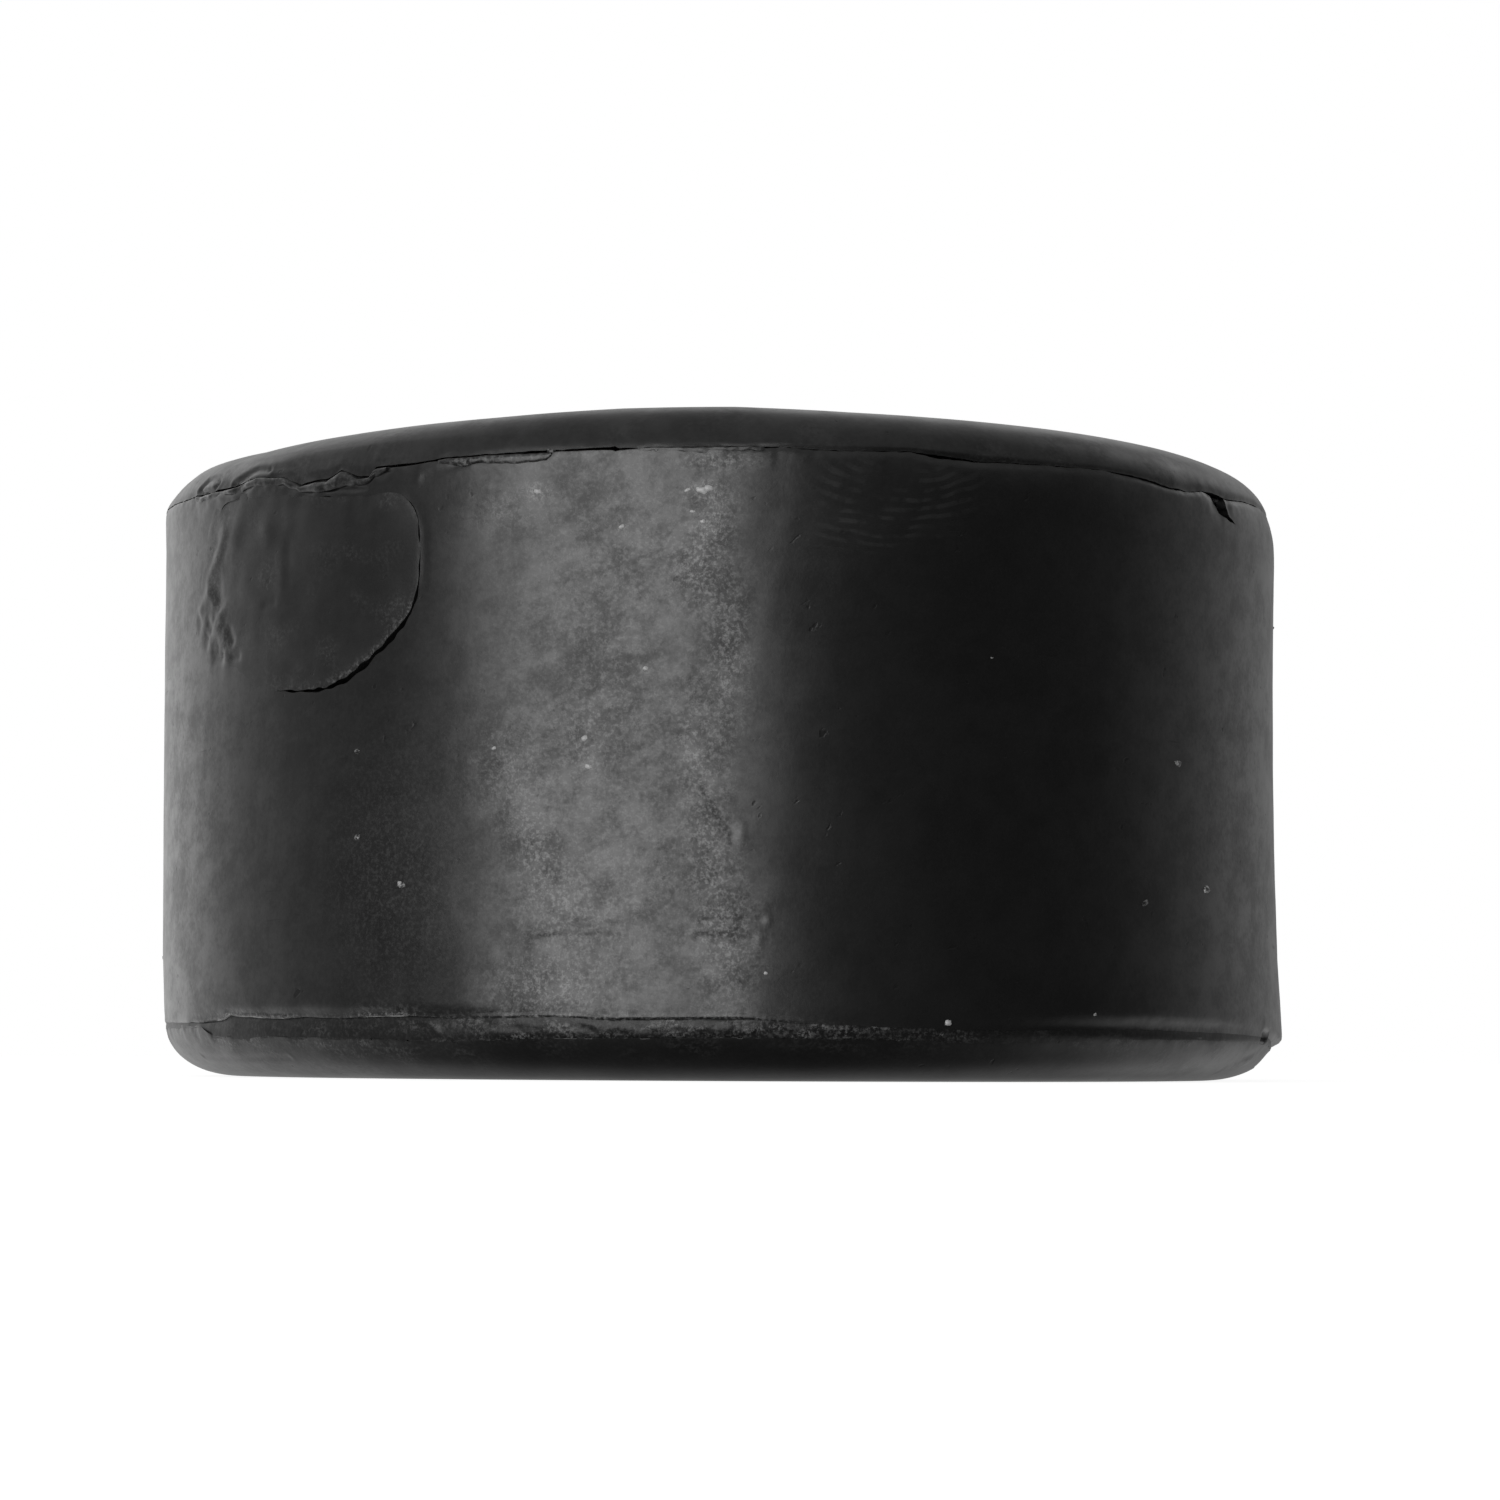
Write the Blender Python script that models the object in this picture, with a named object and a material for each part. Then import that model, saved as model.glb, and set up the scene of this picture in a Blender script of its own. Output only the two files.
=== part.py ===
"""Built-up rubber puck: a core drum, a facing disc bonded to each end, and a patch let into the wall.

Metres, +Z up. The origin is the centre of the flat underside, and the side with the patch faces -Y.
All the pieces but the patch are slices of one outer form, so their rims line up at every joint.
"""

import math

import bmesh
import bpy

# Outer form
DIAMETER = 0.0762
THICKNESS = 0.0413
TOP_SHOULDER_REACH = 0.0057
TOP_SHOULDER_RISE = 0.0036
BOTTOM_SHOULDER_REACH = 0.0052
BOTTOM_SHOULDER_RISE = 0.0037

# Layers, from the underside up: facing, ply, core, ply, facing
BOTTOM_FACING_THICKNESS = 0.00245
LOWER_PLY_THICKNESS = 0.0007
UPPER_PLY_THICKNESS = 0.0004
TOP_FACING_THICKNESS = 0.00305
BOND_LINE = 0.0003

# Rubber squeezed out of the joints, and the foot of the wall, which bells out on the +X side
PLY_SQUEEZE_OUT = 0.00025
SQUEEZE_WAVES = ((3, 0.4), (7, 2.1), (13, 4.0), (22, 1.3))
FOOT_FLARE = 0.0004
FOOT_FLARE_HEIGHT = 0.016

# Patch let into the wall below the upper joint
PATCH_BEARING = math.radians(-44)
PATCH_WIDTH = 0.0205
PATCH_HEIGHT = 0.0122
PATCH_TOP_CORNER = 0.0015
PATCH_FOOT_CORNER = 0.0065
PATCH_THICKNESS = 0.0008
PATCH_STANDS_PROUD = 0.0001
PATCH_CLEARANCE = 0.0003
PATCH_BELOW_JOINT = 0.0009

# Mesh fineness
SEGMENTS = 96
SHOULDER_STEPS = 7
CORNER_STEPS = 6
FLARE_STEPS = 5

# Rubber colours are linear values
RUBBER_BLACK = (0.018, 0.018, 0.018, 1.0)
RUBBER_WORN = (0.026, 0.026, 0.026, 1.0)
RUBBER_SQUEEZED = (0.034, 0.034, 0.034, 1.0)

RADIUS = DIAMETER / 2

# Heights of the layers' faces
BOTTOM_FACING_TOP = BOTTOM_FACING_THICKNESS
LOWER_PLY_BOTTOM = BOTTOM_FACING_TOP + BOND_LINE
LOWER_PLY_TOP = LOWER_PLY_BOTTOM + LOWER_PLY_THICKNESS
CORE_BOTTOM = LOWER_PLY_TOP + BOND_LINE
TOP_FACING_BOTTOM = THICKNESS - TOP_FACING_THICKNESS
UPPER_PLY_TOP = TOP_FACING_BOTTOM - BOND_LINE
UPPER_PLY_BOTTOM = UPPER_PLY_TOP - UPPER_PLY_THICKNESS
CORE_TOP = UPPER_PLY_BOTTOM - BOND_LINE


def clear_scene():
    for thing in list(bpy.data.objects):
        bpy.data.objects.remove(thing, do_unlink=True)


def rubber(name, colour, roughness):
    """A Principled BSDF material for one sub-part."""
    material = bpy.data.materials.new(name)
    material.use_nodes = True
    shader = material.node_tree.nodes["Principled BSDF"]
    shader.inputs["Base Color"].default_value = colour
    shader.inputs["Roughness"].default_value = roughness
    shader.inputs["Metallic"].default_value = 0.0
    return material


def form_radius(height):
    """Radius of the outer form at a height: a straight wall between two elliptical shoulders."""
    above = height - (THICKNESS - TOP_SHOULDER_RISE)
    below = BOTTOM_SHOULDER_RISE - height
    if above > 0:
        return RADIUS - TOP_SHOULDER_REACH * fall_away(above / TOP_SHOULDER_RISE)
    if below > 0:
        return RADIUS - BOTTOM_SHOULDER_REACH * fall_away(below / BOTTOM_SHOULDER_RISE)
    return RADIUS


def fall_away(share):
    """How far a quarter ellipse has turned in, from 0 to 1, at this share of its rise."""
    return 1 - math.sqrt(max(0.0, 1 - share * share))


def rim_heights(low, high, extra=()):
    """Heights at which a slice's rim needs a ring: its two edges and the shoulders' steps between them."""
    turns = [math.sin(math.pi / 2 * step / SHOULDER_STEPS) for step in range(SHOULDER_STEPS)]
    stations = [THICKNESS - TOP_SHOULDER_RISE * (1 - turn) for turn in turns]
    stations += [BOTTOM_SHOULDER_RISE * (1 - turn) for turn in turns]
    inside = [height for height in [*stations, *extra] if low < height < high]
    return [low, *sorted(inside), high]


def squeeze_out(bearing):
    """Rubber squeezed out of a joint, as a share from 0 to 1: slow swells with a finer ripple on them."""
    swell = sum(math.sin(order * bearing + phase) for order, phase in SQUEEZE_WAVES)
    return 0.5 + 0.5 * swell / len(SQUEEZE_WAVES)


def foot_flare(bearing, height):
    """How far the wall's foot stands out: most at the core's lower edge, on the +X side."""
    share = max(0.0, 1 - (height - CORE_BOTTOM) / FOOT_FLARE_HEIGHT)
    facing_x = max(0.0, math.sin(bearing))
    return FOOT_FLARE * facing_x**2 * share**2


def bearing_of(point):
    """Angle round the puck from the -Y side, growing towards +X."""
    return math.atan2(point.x, -point.y)


def add_object(name, mesh_builder, material):
    mesh = bpy.data.meshes.new(name)
    mesh_builder.to_mesh(mesh)
    mesh_builder.free()
    thing = bpy.data.objects.new(name, mesh)
    bpy.context.scene.collection.objects.link(thing)
    if material:
        mesh.materials.append(material)
    mesh.shade_smooth()
    mesh.set_sharp_from_angle(angle=math.radians(40))
    return thing


def spun(profile):
    """A closed profile of (radius, height) points, turned about the Z axis."""
    form = bmesh.new()
    points = [form.verts.new((radius, 0.0, height)) for radius, height in profile]
    edges = [form.edges.new(pair) for pair in zip(points, points[1:])]
    bmesh.ops.spin(
        form,
        geom=points + edges,
        cent=(0, 0, 0),
        axis=(0, 0, 1),
        angle=2 * math.pi,
        steps=SEGMENTS,
        use_merge=True,
    )
    bmesh.ops.remove_doubles(form, verts=form.verts, dist=1e-7)
    bmesh.ops.recalc_face_normals(form, faces=form.faces)
    return form


def slice_of_puck(low, high, stand_out=None, extra_heights=()):
    """The layer of the outer form between two heights. stand_out(bearing, height) moves its rim outwards."""
    rim = [(form_radius(height), height) for height in rim_heights(low, high, extra_heights)]
    form = spun([(0.0, low), *rim, (0.0, high)])
    if stand_out:
        for point in form.verts:
            reach = math.hypot(point.co.x, point.co.y)
            if reach > 0:
                grown = (reach + stand_out(bearing_of(point.co), point.co.z)) / reach
                point.co.x *= grown
                point.co.y *= grown
    return form


def patch_outline(growth):
    """Corner arcs of the patch, flat: (sideways, height) from its middle, grown all round by growth."""
    half_width = PATCH_WIDTH / 2 + growth
    half_height = PATCH_HEIGHT / 2 + growth
    widest = min(half_width, half_height)
    top_corner = min(PATCH_TOP_CORNER + growth, widest)
    foot_corner = min(PATCH_FOOT_CORNER + growth, half_width, 2 * half_height - top_corner)
    corners = ((1, 1, top_corner, 0), (-1, 1, top_corner, 90), (-1, -1, foot_corner, 180), (1, -1, foot_corner, 270))
    outline = []
    for side, level, corner, start in corners:
        centre = (side * (half_width - corner), level * (half_height - corner))
        for step in range(CORNER_STEPS + 1):
            turn = math.radians(start + 90 * step / CORNER_STEPS)
            outline.append((centre[0] + corner * math.cos(turn), centre[1] + corner * math.sin(turn)))
    return outline


def patch_prism(growth, inner, outer):
    """The patch's outline pushed straight out from the axis, between two distances from it."""
    middle_height = CORE_TOP - PATCH_BELOW_JOINT - PATCH_HEIGHT / 2
    outwards = (math.sin(PATCH_BEARING), -math.cos(PATCH_BEARING))
    sideways = (-outwards[1], outwards[0])
    form = bmesh.new()
    ring = []
    for along, height in patch_outline(growth):
        x = outwards[0] * inner + sideways[0] * along
        y = outwards[1] * inner + sideways[1] * along
        ring.append(form.verts.new((x, y, middle_height + height)))
    floor = form.faces.new(ring)
    made = bmesh.ops.extrude_face_region(form, geom=[floor])
    moved = [item for item in made["geom"] if isinstance(item, bmesh.types.BMVert)]
    push = (outwards[0] * (outer - inner), outwards[1] * (outer - inner), 0.0)
    bmesh.ops.translate(form, verts=moved, vec=push)
    bmesh.ops.recalc_face_normals(form, faces=form.faces)
    return form


def wall_ring(inner, outer):
    """A plain tube as high as the core, from which a curved plate is cut."""
    profile = [(inner, CORE_BOTTOM), (outer, CORE_BOTTOM), (outer, CORE_TOP), (inner, CORE_TOP)]
    return spun([*profile, profile[0]])


def helper(name, mesh_builder):
    """A cutter, which isn't part of the puck."""
    thing = add_object(name, mesh_builder, None)
    thing.hide_render = True
    thing.display_type = "WIRE"
    return thing


def boolean(thing, operation, other):
    modifier = thing.modifiers.new(operation.lower() + "_" + other.name, "BOOLEAN")
    modifier.operation = operation
    modifier.solver = "EXACT"
    modifier.object = other


def curved_plate(name, growth, inner, outer, material):
    """The part of a wall ring that lies inside the patch's outline."""
    deep, shallow = inner - 2 * PATCH_THICKNESS - RADIUS / 8, outer + PATCH_THICKNESS
    prism = helper(name + "_outline", patch_prism(growth, deep, shallow))
    plate = add_object(name, wall_ring(inner, outer), material)
    boolean(plate, "INTERSECT", prism)
    return plate


def make_facings():
    facing_black = rubber("facing_rubber", RUBBER_BLACK, 0.42)
    under_black = rubber("underside_rubber", RUBBER_BLACK, 0.48)
    add_object("top_facing", slice_of_puck(TOP_FACING_BOTTOM, THICKNESS), facing_black)
    add_object("bottom_facing", slice_of_puck(0.0, BOTTOM_FACING_TOP), under_black)


def make_bonding_plies():
    def squeezed(bearing, _height):
        return PLY_SQUEEZE_OUT * squeeze_out(bearing)

    def squeezed_behind(bearing, _height):
        return PLY_SQUEEZE_OUT * squeeze_out(-bearing)

    upper_grey = rubber("upper_ply_rubber", RUBBER_SQUEEZED, 0.55)
    lower_grey = rubber("lower_ply_rubber", RUBBER_SQUEEZED, 0.6)
    add_object("upper_bonding_ply", slice_of_puck(UPPER_PLY_BOTTOM, UPPER_PLY_TOP, squeezed), upper_grey)
    add_object("lower_bonding_ply", slice_of_puck(LOWER_PLY_BOTTOM, LOWER_PLY_TOP, squeezed_behind), lower_grey)


def make_core_and_patch():
    flare_rings = [CORE_BOTTOM + FOOT_FLARE_HEIGHT * step / FLARE_STEPS for step in range(1, FLARE_STEPS + 1)]
    drum = slice_of_puck(CORE_BOTTOM, CORE_TOP, foot_flare, flare_rings)
    core = add_object("core", drum, rubber("wall_rubber", RUBBER_WORN, 0.38))
    patch_outer = RADIUS + PATCH_STANDS_PROUD
    patch_inner = patch_outer - PATCH_THICKNESS
    patch_grey = rubber("patch_rubber", RUBBER_WORN, 0.5)
    curved_plate("wall_patch", 0.0, patch_inner, patch_outer, patch_grey)
    pocket_outer = patch_outer + PATCH_THICKNESS
    pocket = curved_plate("patch_pocket", PATCH_CLEARANCE, patch_inner - PATCH_CLEARANCE, pocket_outer, None)
    pocket.hide_render = True
    pocket.display_type = "WIRE"
    boolean(core, "DIFFERENCE", pocket)


def main():
    clear_scene()
    make_facings()
    make_bonding_plies()
    make_core_and_patch()


main()
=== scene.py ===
"""Dresses the rubber puck: torn joints, a lapped patch, scuffed and finger-marked rubber.

Lengths in the tables are millimetres. A bearing is the angle in degrees round the puck from its front,
which faces -Y, and grows towards +X.
"""

import math

import bpy
import numpy as np
from mathutils import Euler, Matrix, Vector


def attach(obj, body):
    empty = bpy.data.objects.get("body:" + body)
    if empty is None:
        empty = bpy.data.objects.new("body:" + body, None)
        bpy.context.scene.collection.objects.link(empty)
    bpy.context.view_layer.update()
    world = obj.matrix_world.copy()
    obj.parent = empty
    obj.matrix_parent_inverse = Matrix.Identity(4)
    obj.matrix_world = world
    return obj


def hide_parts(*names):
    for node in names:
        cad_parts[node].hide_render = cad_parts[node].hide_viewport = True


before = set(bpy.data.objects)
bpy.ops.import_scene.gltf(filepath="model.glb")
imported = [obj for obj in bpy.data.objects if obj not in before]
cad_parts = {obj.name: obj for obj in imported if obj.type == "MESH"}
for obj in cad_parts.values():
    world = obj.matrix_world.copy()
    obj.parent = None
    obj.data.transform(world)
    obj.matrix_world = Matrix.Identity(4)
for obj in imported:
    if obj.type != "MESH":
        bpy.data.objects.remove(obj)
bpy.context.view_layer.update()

MM = 0.001
WELD = 1e-7
GRIT_TONE = 0.42
# The wall's radius, the puck's height, and the reach of the upper ply's rim where it doesn't show
WALL = 38.1
PUCK_TOP = 41.3
SEAT = 37.3
# How far the rounded shoulders turn in, and how tall they are
TOP_SHOULDER = (5.7, 3.6)
BOTTOM_SHOULDER = (5.3, 3.75)
SHOULDER_FULLNESS = 2.2
# Heights of the rims as they come off the lathe, before they are drawn to the joints' own lines
CORE_BLANK_FOOT = 3.62
CORE_BLANK_LIP = 37.8
TOP_BLANK_RIM = 38.25
BOTTOM_BLANK_RIM = 2.55
UPPER_PLY_BLANK = (37.6, 37.9)
LOWER_PLY_BLANK = (2.6, 3.62)
# Scales places so that torn lumps come out wide and low
FLAT_LUMPS = np.array((0.45, 0.45, 1.2))

# The camera: its place, tilt and roll in radians, and the photograph's width and focal length in pixels
CAMERA_PLACE = (2.06, -283.1, 1.775)
CAMERA_TILT = 0.0738
CAMERA_ROLL = 0.005
PHOTO_PIXELS = 1500
FOCAL_PIXELS = 4086.2

# How far the hand-built layers stand off the true axis, towards +X, and how full the wall is, by height
WALL_SWAY = (
    (3.2, 0.36), (5.5, 0.24), (8.2, 0.1), (13.7, 0), (21, -0.09), (30, -0.09), (35.5, -0.04),
    (37.5, -0.1),
)
WALL_SWELL = (
    (3.2, 0.14), (5.5, 0.14), (8.2, 0.12), (13.7, 0.07), (21, 0.05), (30, 0.1), (35.5, 0.16),
    (37.5, 0.16),
)
TOP_FACING_SWAY = -0.1
BOTTOM_FACING_SWAY = 0.26

# The upper joint, by bearing: height of the open line, how wide it gapes, how much of the ply's rim shows
# under it, how far that rim stands proud, how lumpy the rubber is there, how far the facing's lip stands
# out, how softly both lips turn in and how far the core's lip is rounded over
UPPER_LINE = (
    (-180, 38.1), (-100, 38.2), (-79, 38.3), (-68, 38), (-54, 37.85), (-50.5, 38.2), (-46, 37.9),
    (-43.4, 37.2), (-41.2, 37.4), (-39.7, 37.35), (-38, 37.85), (-37.4, 37.75), (-35.8, 37.3),
    (-34.4, 37.25), (-33.7, 37.8), (-29, 37.85), (-26, 38.05), (-9, 38.2), (1, 38.3), (6, 38.3),
    (10, 38.15), (18, 38.3), (20.5, 38.1), (25, 37.95), (39, 38.2), (46, 37.95), (49, 37.7), (52.5, 37.7),
    (55, 37.95), (61, 37.85), (65.5, 38.1), (72, 38.25), (180, 38.1),
)
UPPER_GAP = (
    (-180, 0.1), (-63, 0.12), (-55, 0.16), (-51, 0.03), (-45, 0.03), (-43, 0.14), (-38.5, 0.14),
    (-37.6, 0.06), (-36, 0.14), (-26, 0.1), (-18, 0.12), (-14, 0.16), (-9.6, 0.2), (-9.3, 0.36),
    (-8.9, 0.03), (2, 0.03), (7.5, 0.05), (18, 0.06), (20.5, 0.2), (24, 0.18), (26, 0.05), (39, 0.04),
    (43, 0.1), (50, 0.1), (52, 0.04), (55, 0.05), (57.5, 0.26), (60, 0.08), (64, 0.06), (180, 0.1),
)
RIM_STRIP = (
    (-180, 0), (-168, 0), (-163, 0.35), (-147, 0.4), (-142, 0), (-65, 0), (-62, 0.3), (-56, 0.2),
    (-50, 0.45), (-43.4, 0.3), (-41.2, 0.5), (-39.7, 0.45), (-38, 0.9), (-37.4, 0.8), (-35.8, 0.4),
    (-34.4, 0.35), (-33.4, 0.4), (-32, 0.06), (-27, 0.06), (-25, 0.34), (-24, 0.42), (-15.8, 0.4),
    (-15, 0), (-9.3, 0), (-8.8, 0.08), (-5, 0.14), (-1, 0.22), (4, 0.12), (6, 0), (112, 0), (116, 0.3),
    (131, 0.35), (135, 0), (180, 0),
)
RIM_PROUD = (
    (-180, 0.1), (-60, 0.08), (-50, 0.12), (-44, 0.14), (-41, 0.22), (-34, 0.22), (-30, 0.08),
    (-24, 0.12), (-16, 0.12), (-9, 0.02), (-2, 0.05), (5, 0.03), (110, 0.08), (180, 0.1),
)
LUMPINESS = (
    (-180, 0.3), (-80, 0.1), (-68, 0.25), (-60, 0.6), (-34, 0.7), (-28, 0.3), (-24, 0.05), (-14, 0.12),
    (-4, 0.3), (4, 0.3), (8, 0.12), (50, 0.15), (56, 0.5), (64, 0.3), (80, 0.2), (180, 0.3),
)
FACING_LIP = (
    (-180, 0), (-120, 0), (-96, 0.28), (-82, 0.24), (-74, 0.12), (-60, 0.04), (-48, 0.1), (-34, 0.04),
    (-28, 0), (38, 0), (44, 0.12), (50, 0.14), (54, 0.03), (66, 0), (78, -0.14), (100, -0.14), (116, 0),
    (180, 0),
)
SOFT_LIPS = (
    (-180, 0.5), (-70, 0.4), (-45, 0.2), (0, 0.1), (8, 0.8), (24, 0.9), (30, 0.5), (40, 0.6), (56, 0.7),
    (180, 0.5),
)
LIP_ROUND = (
    (-180, 0.1), (-110, 0.1), (-90, 0), (0, 0), (12, 0.08), (40, 0.12), (62, 0.2), (78, 0.26),
    (100, 0.26), (120, 0.1), (180, 0.1),
)

# The lower joint, by bearing: the core's foot, the facing's edge under it, how far the ply between them is
# set back, how sharply its lines are open, how crumbly it is, how thick a bead of flash runs along the
# core's foot and how tall the turn at that foot is
CORE_FOOT = (
    (-180, 3.5), (-100, 3.5), (-72, 3.55), (-63, 3.5), (-58.8, 3.58), (-57.2, 3.66), (-55.7, 3.98),
    (-54, 3.86), (-51.6, 3.84), (-48, 3.72), (-45.8, 3.7), (-42.8, 3.82), (-38, 3.74), (-29, 3.88),
    (-25, 3.72), (-15, 3.83), (-10, 3.66), (2.4, 3.76), (7.6, 3.5), (19.5, 3.24), (27, 3.15), (38, 3.3),
    (48.5, 3.25), (68.5, 2.98), (74, 2.75), (79, 2.4), (84, 2.15), (97, 2.15), (110, 2.9), (120, 3.3),
    (180, 3.5),
)
FACING_EDGE = (
    (-180, 2.5), (-105, 2.5), (-92, 3.2), (-62.4, 3.25), (-60.4, 2.75), (-59.4, 2.55), (-54.4, 2.5),
    (-52.4, 2.38), (-48.9, 2.58), (-44.2, 2.46), (-40, 2.5), (-27, 2.32), (-15, 2.6), (4, 2.7),
    (19.5, 2.54), (27, 2.42), (36, 2.58), (39.5, 2.72), (52, 2.75), (66, 2.6), (74, 2.45), (80, 2.15),
    (86, 1.98), (97, 1.98), (110, 2.3), (120, 2.45), (180, 2.5),
)
PLY_SET_BACK = (
    (-180, 0.2), (-100, 0.12), (-72, 0.02), (-66, 0.06), (-62, 0.35), (-45, 0.4), (-30, 0.36),
    (-24, 0.26), (-20, 0.1), (-10, 0.03), (5, 0.03), (15, 0.06), (22, 0.1), (30, 0.14), (45, 0.34),
    (56, 0.38), (64, 0.26), (69, 0.24), (69.6, 0.75), (71.2, 0.75), (72, 0.26), (75.5, 0.42), (79, 0.74),
    (84, 0.8), (97, 0.8), (110, 0.22), (180, 0.2),
)
OPEN_LINES = (
    (-180, 0.5), (-80, 0.5), (-70, 0.1), (-62, 0.22), (-40, 0.2), (-28, 0.25), (-22, 0.2), (-12, 0.2),
    (-9, 0.6), (2, 0.6), (5, 0.1), (10, 0), (100, 0), (116, 0.5), (180, 0.5),
)
PLY_CRUMBLE = (
    (-180, 0.5), (-70, 0.15), (-60, 0.26), (-30, 0.3), (-24, 0.5), (-12, 1), (8, 1), (20, 0.5),
    (28, 0.14), (100, 0.2), (180, 0.5),
)
# The bead's thickness also sets how pale the core is painted along it, partly as a painted highlight
FOOT_BEAD = (
    (-180, 0.03), (-70, 0.02), (-61, 0.06), (-58, 0.12), (-46, 0.12), (-43, 0.03), (-37, 0.03),
    (-34.5, 0.12), (-30.5, 0.12), (-28, 0.03), (-10, 0.04), (5, 0.03), (12, 0), (40, 0), (46, 0.015),
    (62, 0.015), (70, 0), (180, 0.03),
)
FOOT_ROUND = (
    (-180, 0.5), (68.6, 0.5), (69.4, 0.24), (71.4, 0.24), (72.2, 0.4), (78, 0.15), (100, 0.15),
    (116, 0.5), (180, 0.5),
)

# The patch's edge, going round: bearing, height, lap over its pocket's edge and how proud it stands
PATCH_EDGE = (
    (-56.4, 37, 0.5, 0), (-49.9, 36.9, 0.35, 0.03), (-45.5, 36.6, 0.1, 0.05), (-41.5, 36.4, 0.05, 0.06),
    (-39.8, 36.3, -0.06, 0.06), (-35.8, 36, 0.1, 0.05), (-31.2, 36.2, 0.06, 0.04),
    (-29.6, 35.6, -0.05, 0.03), (-28.7, 34.6, -0.06, 0.03), (-28.5, 33.2, -0.05, 0.03),
    (-28.5, 31.8, -0.05, 0.04), (-28.6, 30, -0.06, 0.08), (-29.1, 28.9, -0.12, 0.1),
    (-30.3, 27.7, -0.24, 0.13), (-32.5, 26.4, -0.3, 0.15), (-35.3, 25.1, -0.32, 0.15),
    (-38, 24.25, -0.28, 0.13), (-40.6, 24.05, -0.22, 0.1), (-43.4, 24.1, -0.14, 0.08),
    (-46.5, 24.3, -0.08, 0.05), (-49.5, 25, 0.8, 0), (-52.3, 26, 0.9, 0), (-55.1, 26.85, 0.9, 0),
    (-59.2, 27.8, 0.9, 0), (-62, 29.4, 0.9, 0), (-62, 31, 0.9, 0), (-61, 32.5, 0.9, 0), (-60, 34, 0.9, 0),
    (-58.4, 35.9, 0.7, 0),
)

# The patch's middle and half its grid, by bearing and height, its depths, and the line of its torn side
PATCH_MIDDLE = (-44.5, 30.6)
PATCH_REACH = (20.5, 8)
POCKET_DEPTH = 0.9
PATCH_THICKNESS = 0.7
PATCH_TEAR = ((-56.2, 37), (-57.6, 34.3), (-59.6, 32.2), (-58.8, 30.8), (-58.2, 28.8), (-57, 27.6))

# Creases in the rubber, and ridges where the depth is below 0: depth, half width, and the bearings and
# heights that each runs through
FOLDS = (
    (0.14, 0.16, (-63.5, 38.3), (-62, 38.8), (-60.2, 38.9), (-58.4, 38.5),
     (-59.6, 38), (-62.4, 37.95), (-63.5, 38.3)),
    (0.14, 0.16, (-55, 38), (-52.4, 38.5), (-50.8, 38.7), (-48.6, 38.55)),
    (0.06, 0.14, (-48.6, 38.55), (-44.5, 38.6), (-40, 38.45)),
    (0.06, 0.14, (-40, 36.75), (-37, 36.6), (-34.8, 36.55)),
    (0.03, 0.3, (-29.9, 35.9), (-28.9, 35.1), (-28.2, 34), (-28.1, 32), (-28.2, 30.6)),
    (0.06, 0.35, (56.6, 37.8), (56.9, 37.2), (58.4, 36.6)),
    (0.06, 0.35, (60.4, 37.7), (60.6, 37)),
    (0.04, 0.2, (-28.2, 36.9), (-26.1, 37.3), (-23.7, 37.7)),
    (0.05, 0.25, (-20.7, 36.1), (-17.4, 36.1), (-14.6, 35.8)),
    (0.07, 0.24, (-0.9, 17.5), (0.2, 16.4), (1.7, 14.9)),
    (0.035, 0.3, (-13.7, 15), (-16.8, 14.3), (-17.3, 13.6), (-15.6, 12.7), (-14.8, 11.8)),
    (0.05, 0.2, (-16.1, 8.55), (-13.4, 8.65), (-10, 8.75)),
    (0.03, 0.2, (-14.2, 9), (-11.5, 9.15), (-8.4, 9.4)),
    (0.04, 0.2, (-1.1, 9.55), (1.2, 9.6)),
    (0.035, 0.2, (2, 9.65), (4.2, 9.7)),
    (0.035, 0.2, (-1.5, 8.65), (0, 8.62), (3.4, 8.5)),
    (0.06, 0.14, (-66, 1.35), (-60, 1.2), (-47, 1.3)),
    (-0.06, 0.4, (-34.4, 4.3), (-31, 4.3)),
    (-0.1, 0.36, (-27.8, 3.5), (-26.8, 3.1)),
    (-0.09, 0.5, (-56.4, 34.8), (-57.7, 33.6), (-59.8, 32.1), (-59.3, 31.2), (-58.4, 30.4), (-57, 29.8)),
    (-0.08, 0.45, (-59.6, 31.3), (-61.1, 30.7), (-62.1, 30.2)),
    (0.06, 0.5, (-57.4, 32), (-57.7, 31), (-57, 30.4)),
    (0.12, 0.36, (-62.4, 29.8), (-62.2, 29.4)),
    (0.12, 0.36, (-59.9, 29.3), (-59.4, 28.9)),
    (0.1, 0.36, (-60.6, 28.5), (-60.2, 28.2)),
    (0.11, 0.36, (-55.2, 28.5), (-54.6, 27.9)),
    (0.1, 0.3, (-58.4, 27), (-56.8, 27)),
    (0.09, 0.3, (-54.6, 26.85), (-53.4, 26.85)),
    (-0.06, 0.6, (-57.6, 28.9), (-56.4, 27.8)),
    (-0.03, 0.5, (-46.2, 33.2), (-46, 30.9)),
    (0.03, 0.45, (-45, 33.6), (-45, 31.3)),
    (0.05, 0.35, (-48.6, 29.9), (-47.3, 30)),
    (-0.03, 0.7, (-55.2, 36.9), (-53.3, 35.7), (-53.8, 34.7)),
    (-0.03, 0.7, (-50.4, 36.8), (-48.8, 35.4), (-48.1, 34.4)),
    (-0.12, 0.3, (64.5, 0.7), (67, 1.05), (70.3, 1.45)),
    (0.07, 0.3, (67, 1.6), (71, 1.95)),
)

# The outline of a torn notch under the upper joint, by bearing and height
TORN_NOTCH = (
    (56.2, 38.6), (59.6, 38.6), (60.1, 37.8), (60.1, 37.2), (60.5, 36.8), (62, 36.25), (60.6, 36.38),
    (59, 36.6), (57.8, 36.9), (57.1, 37.3), (56.8, 37.8),
)
NOTCH_MIDDLE = (58.6, 37.4)
NOTCH_DEPTH = 0.9

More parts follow.
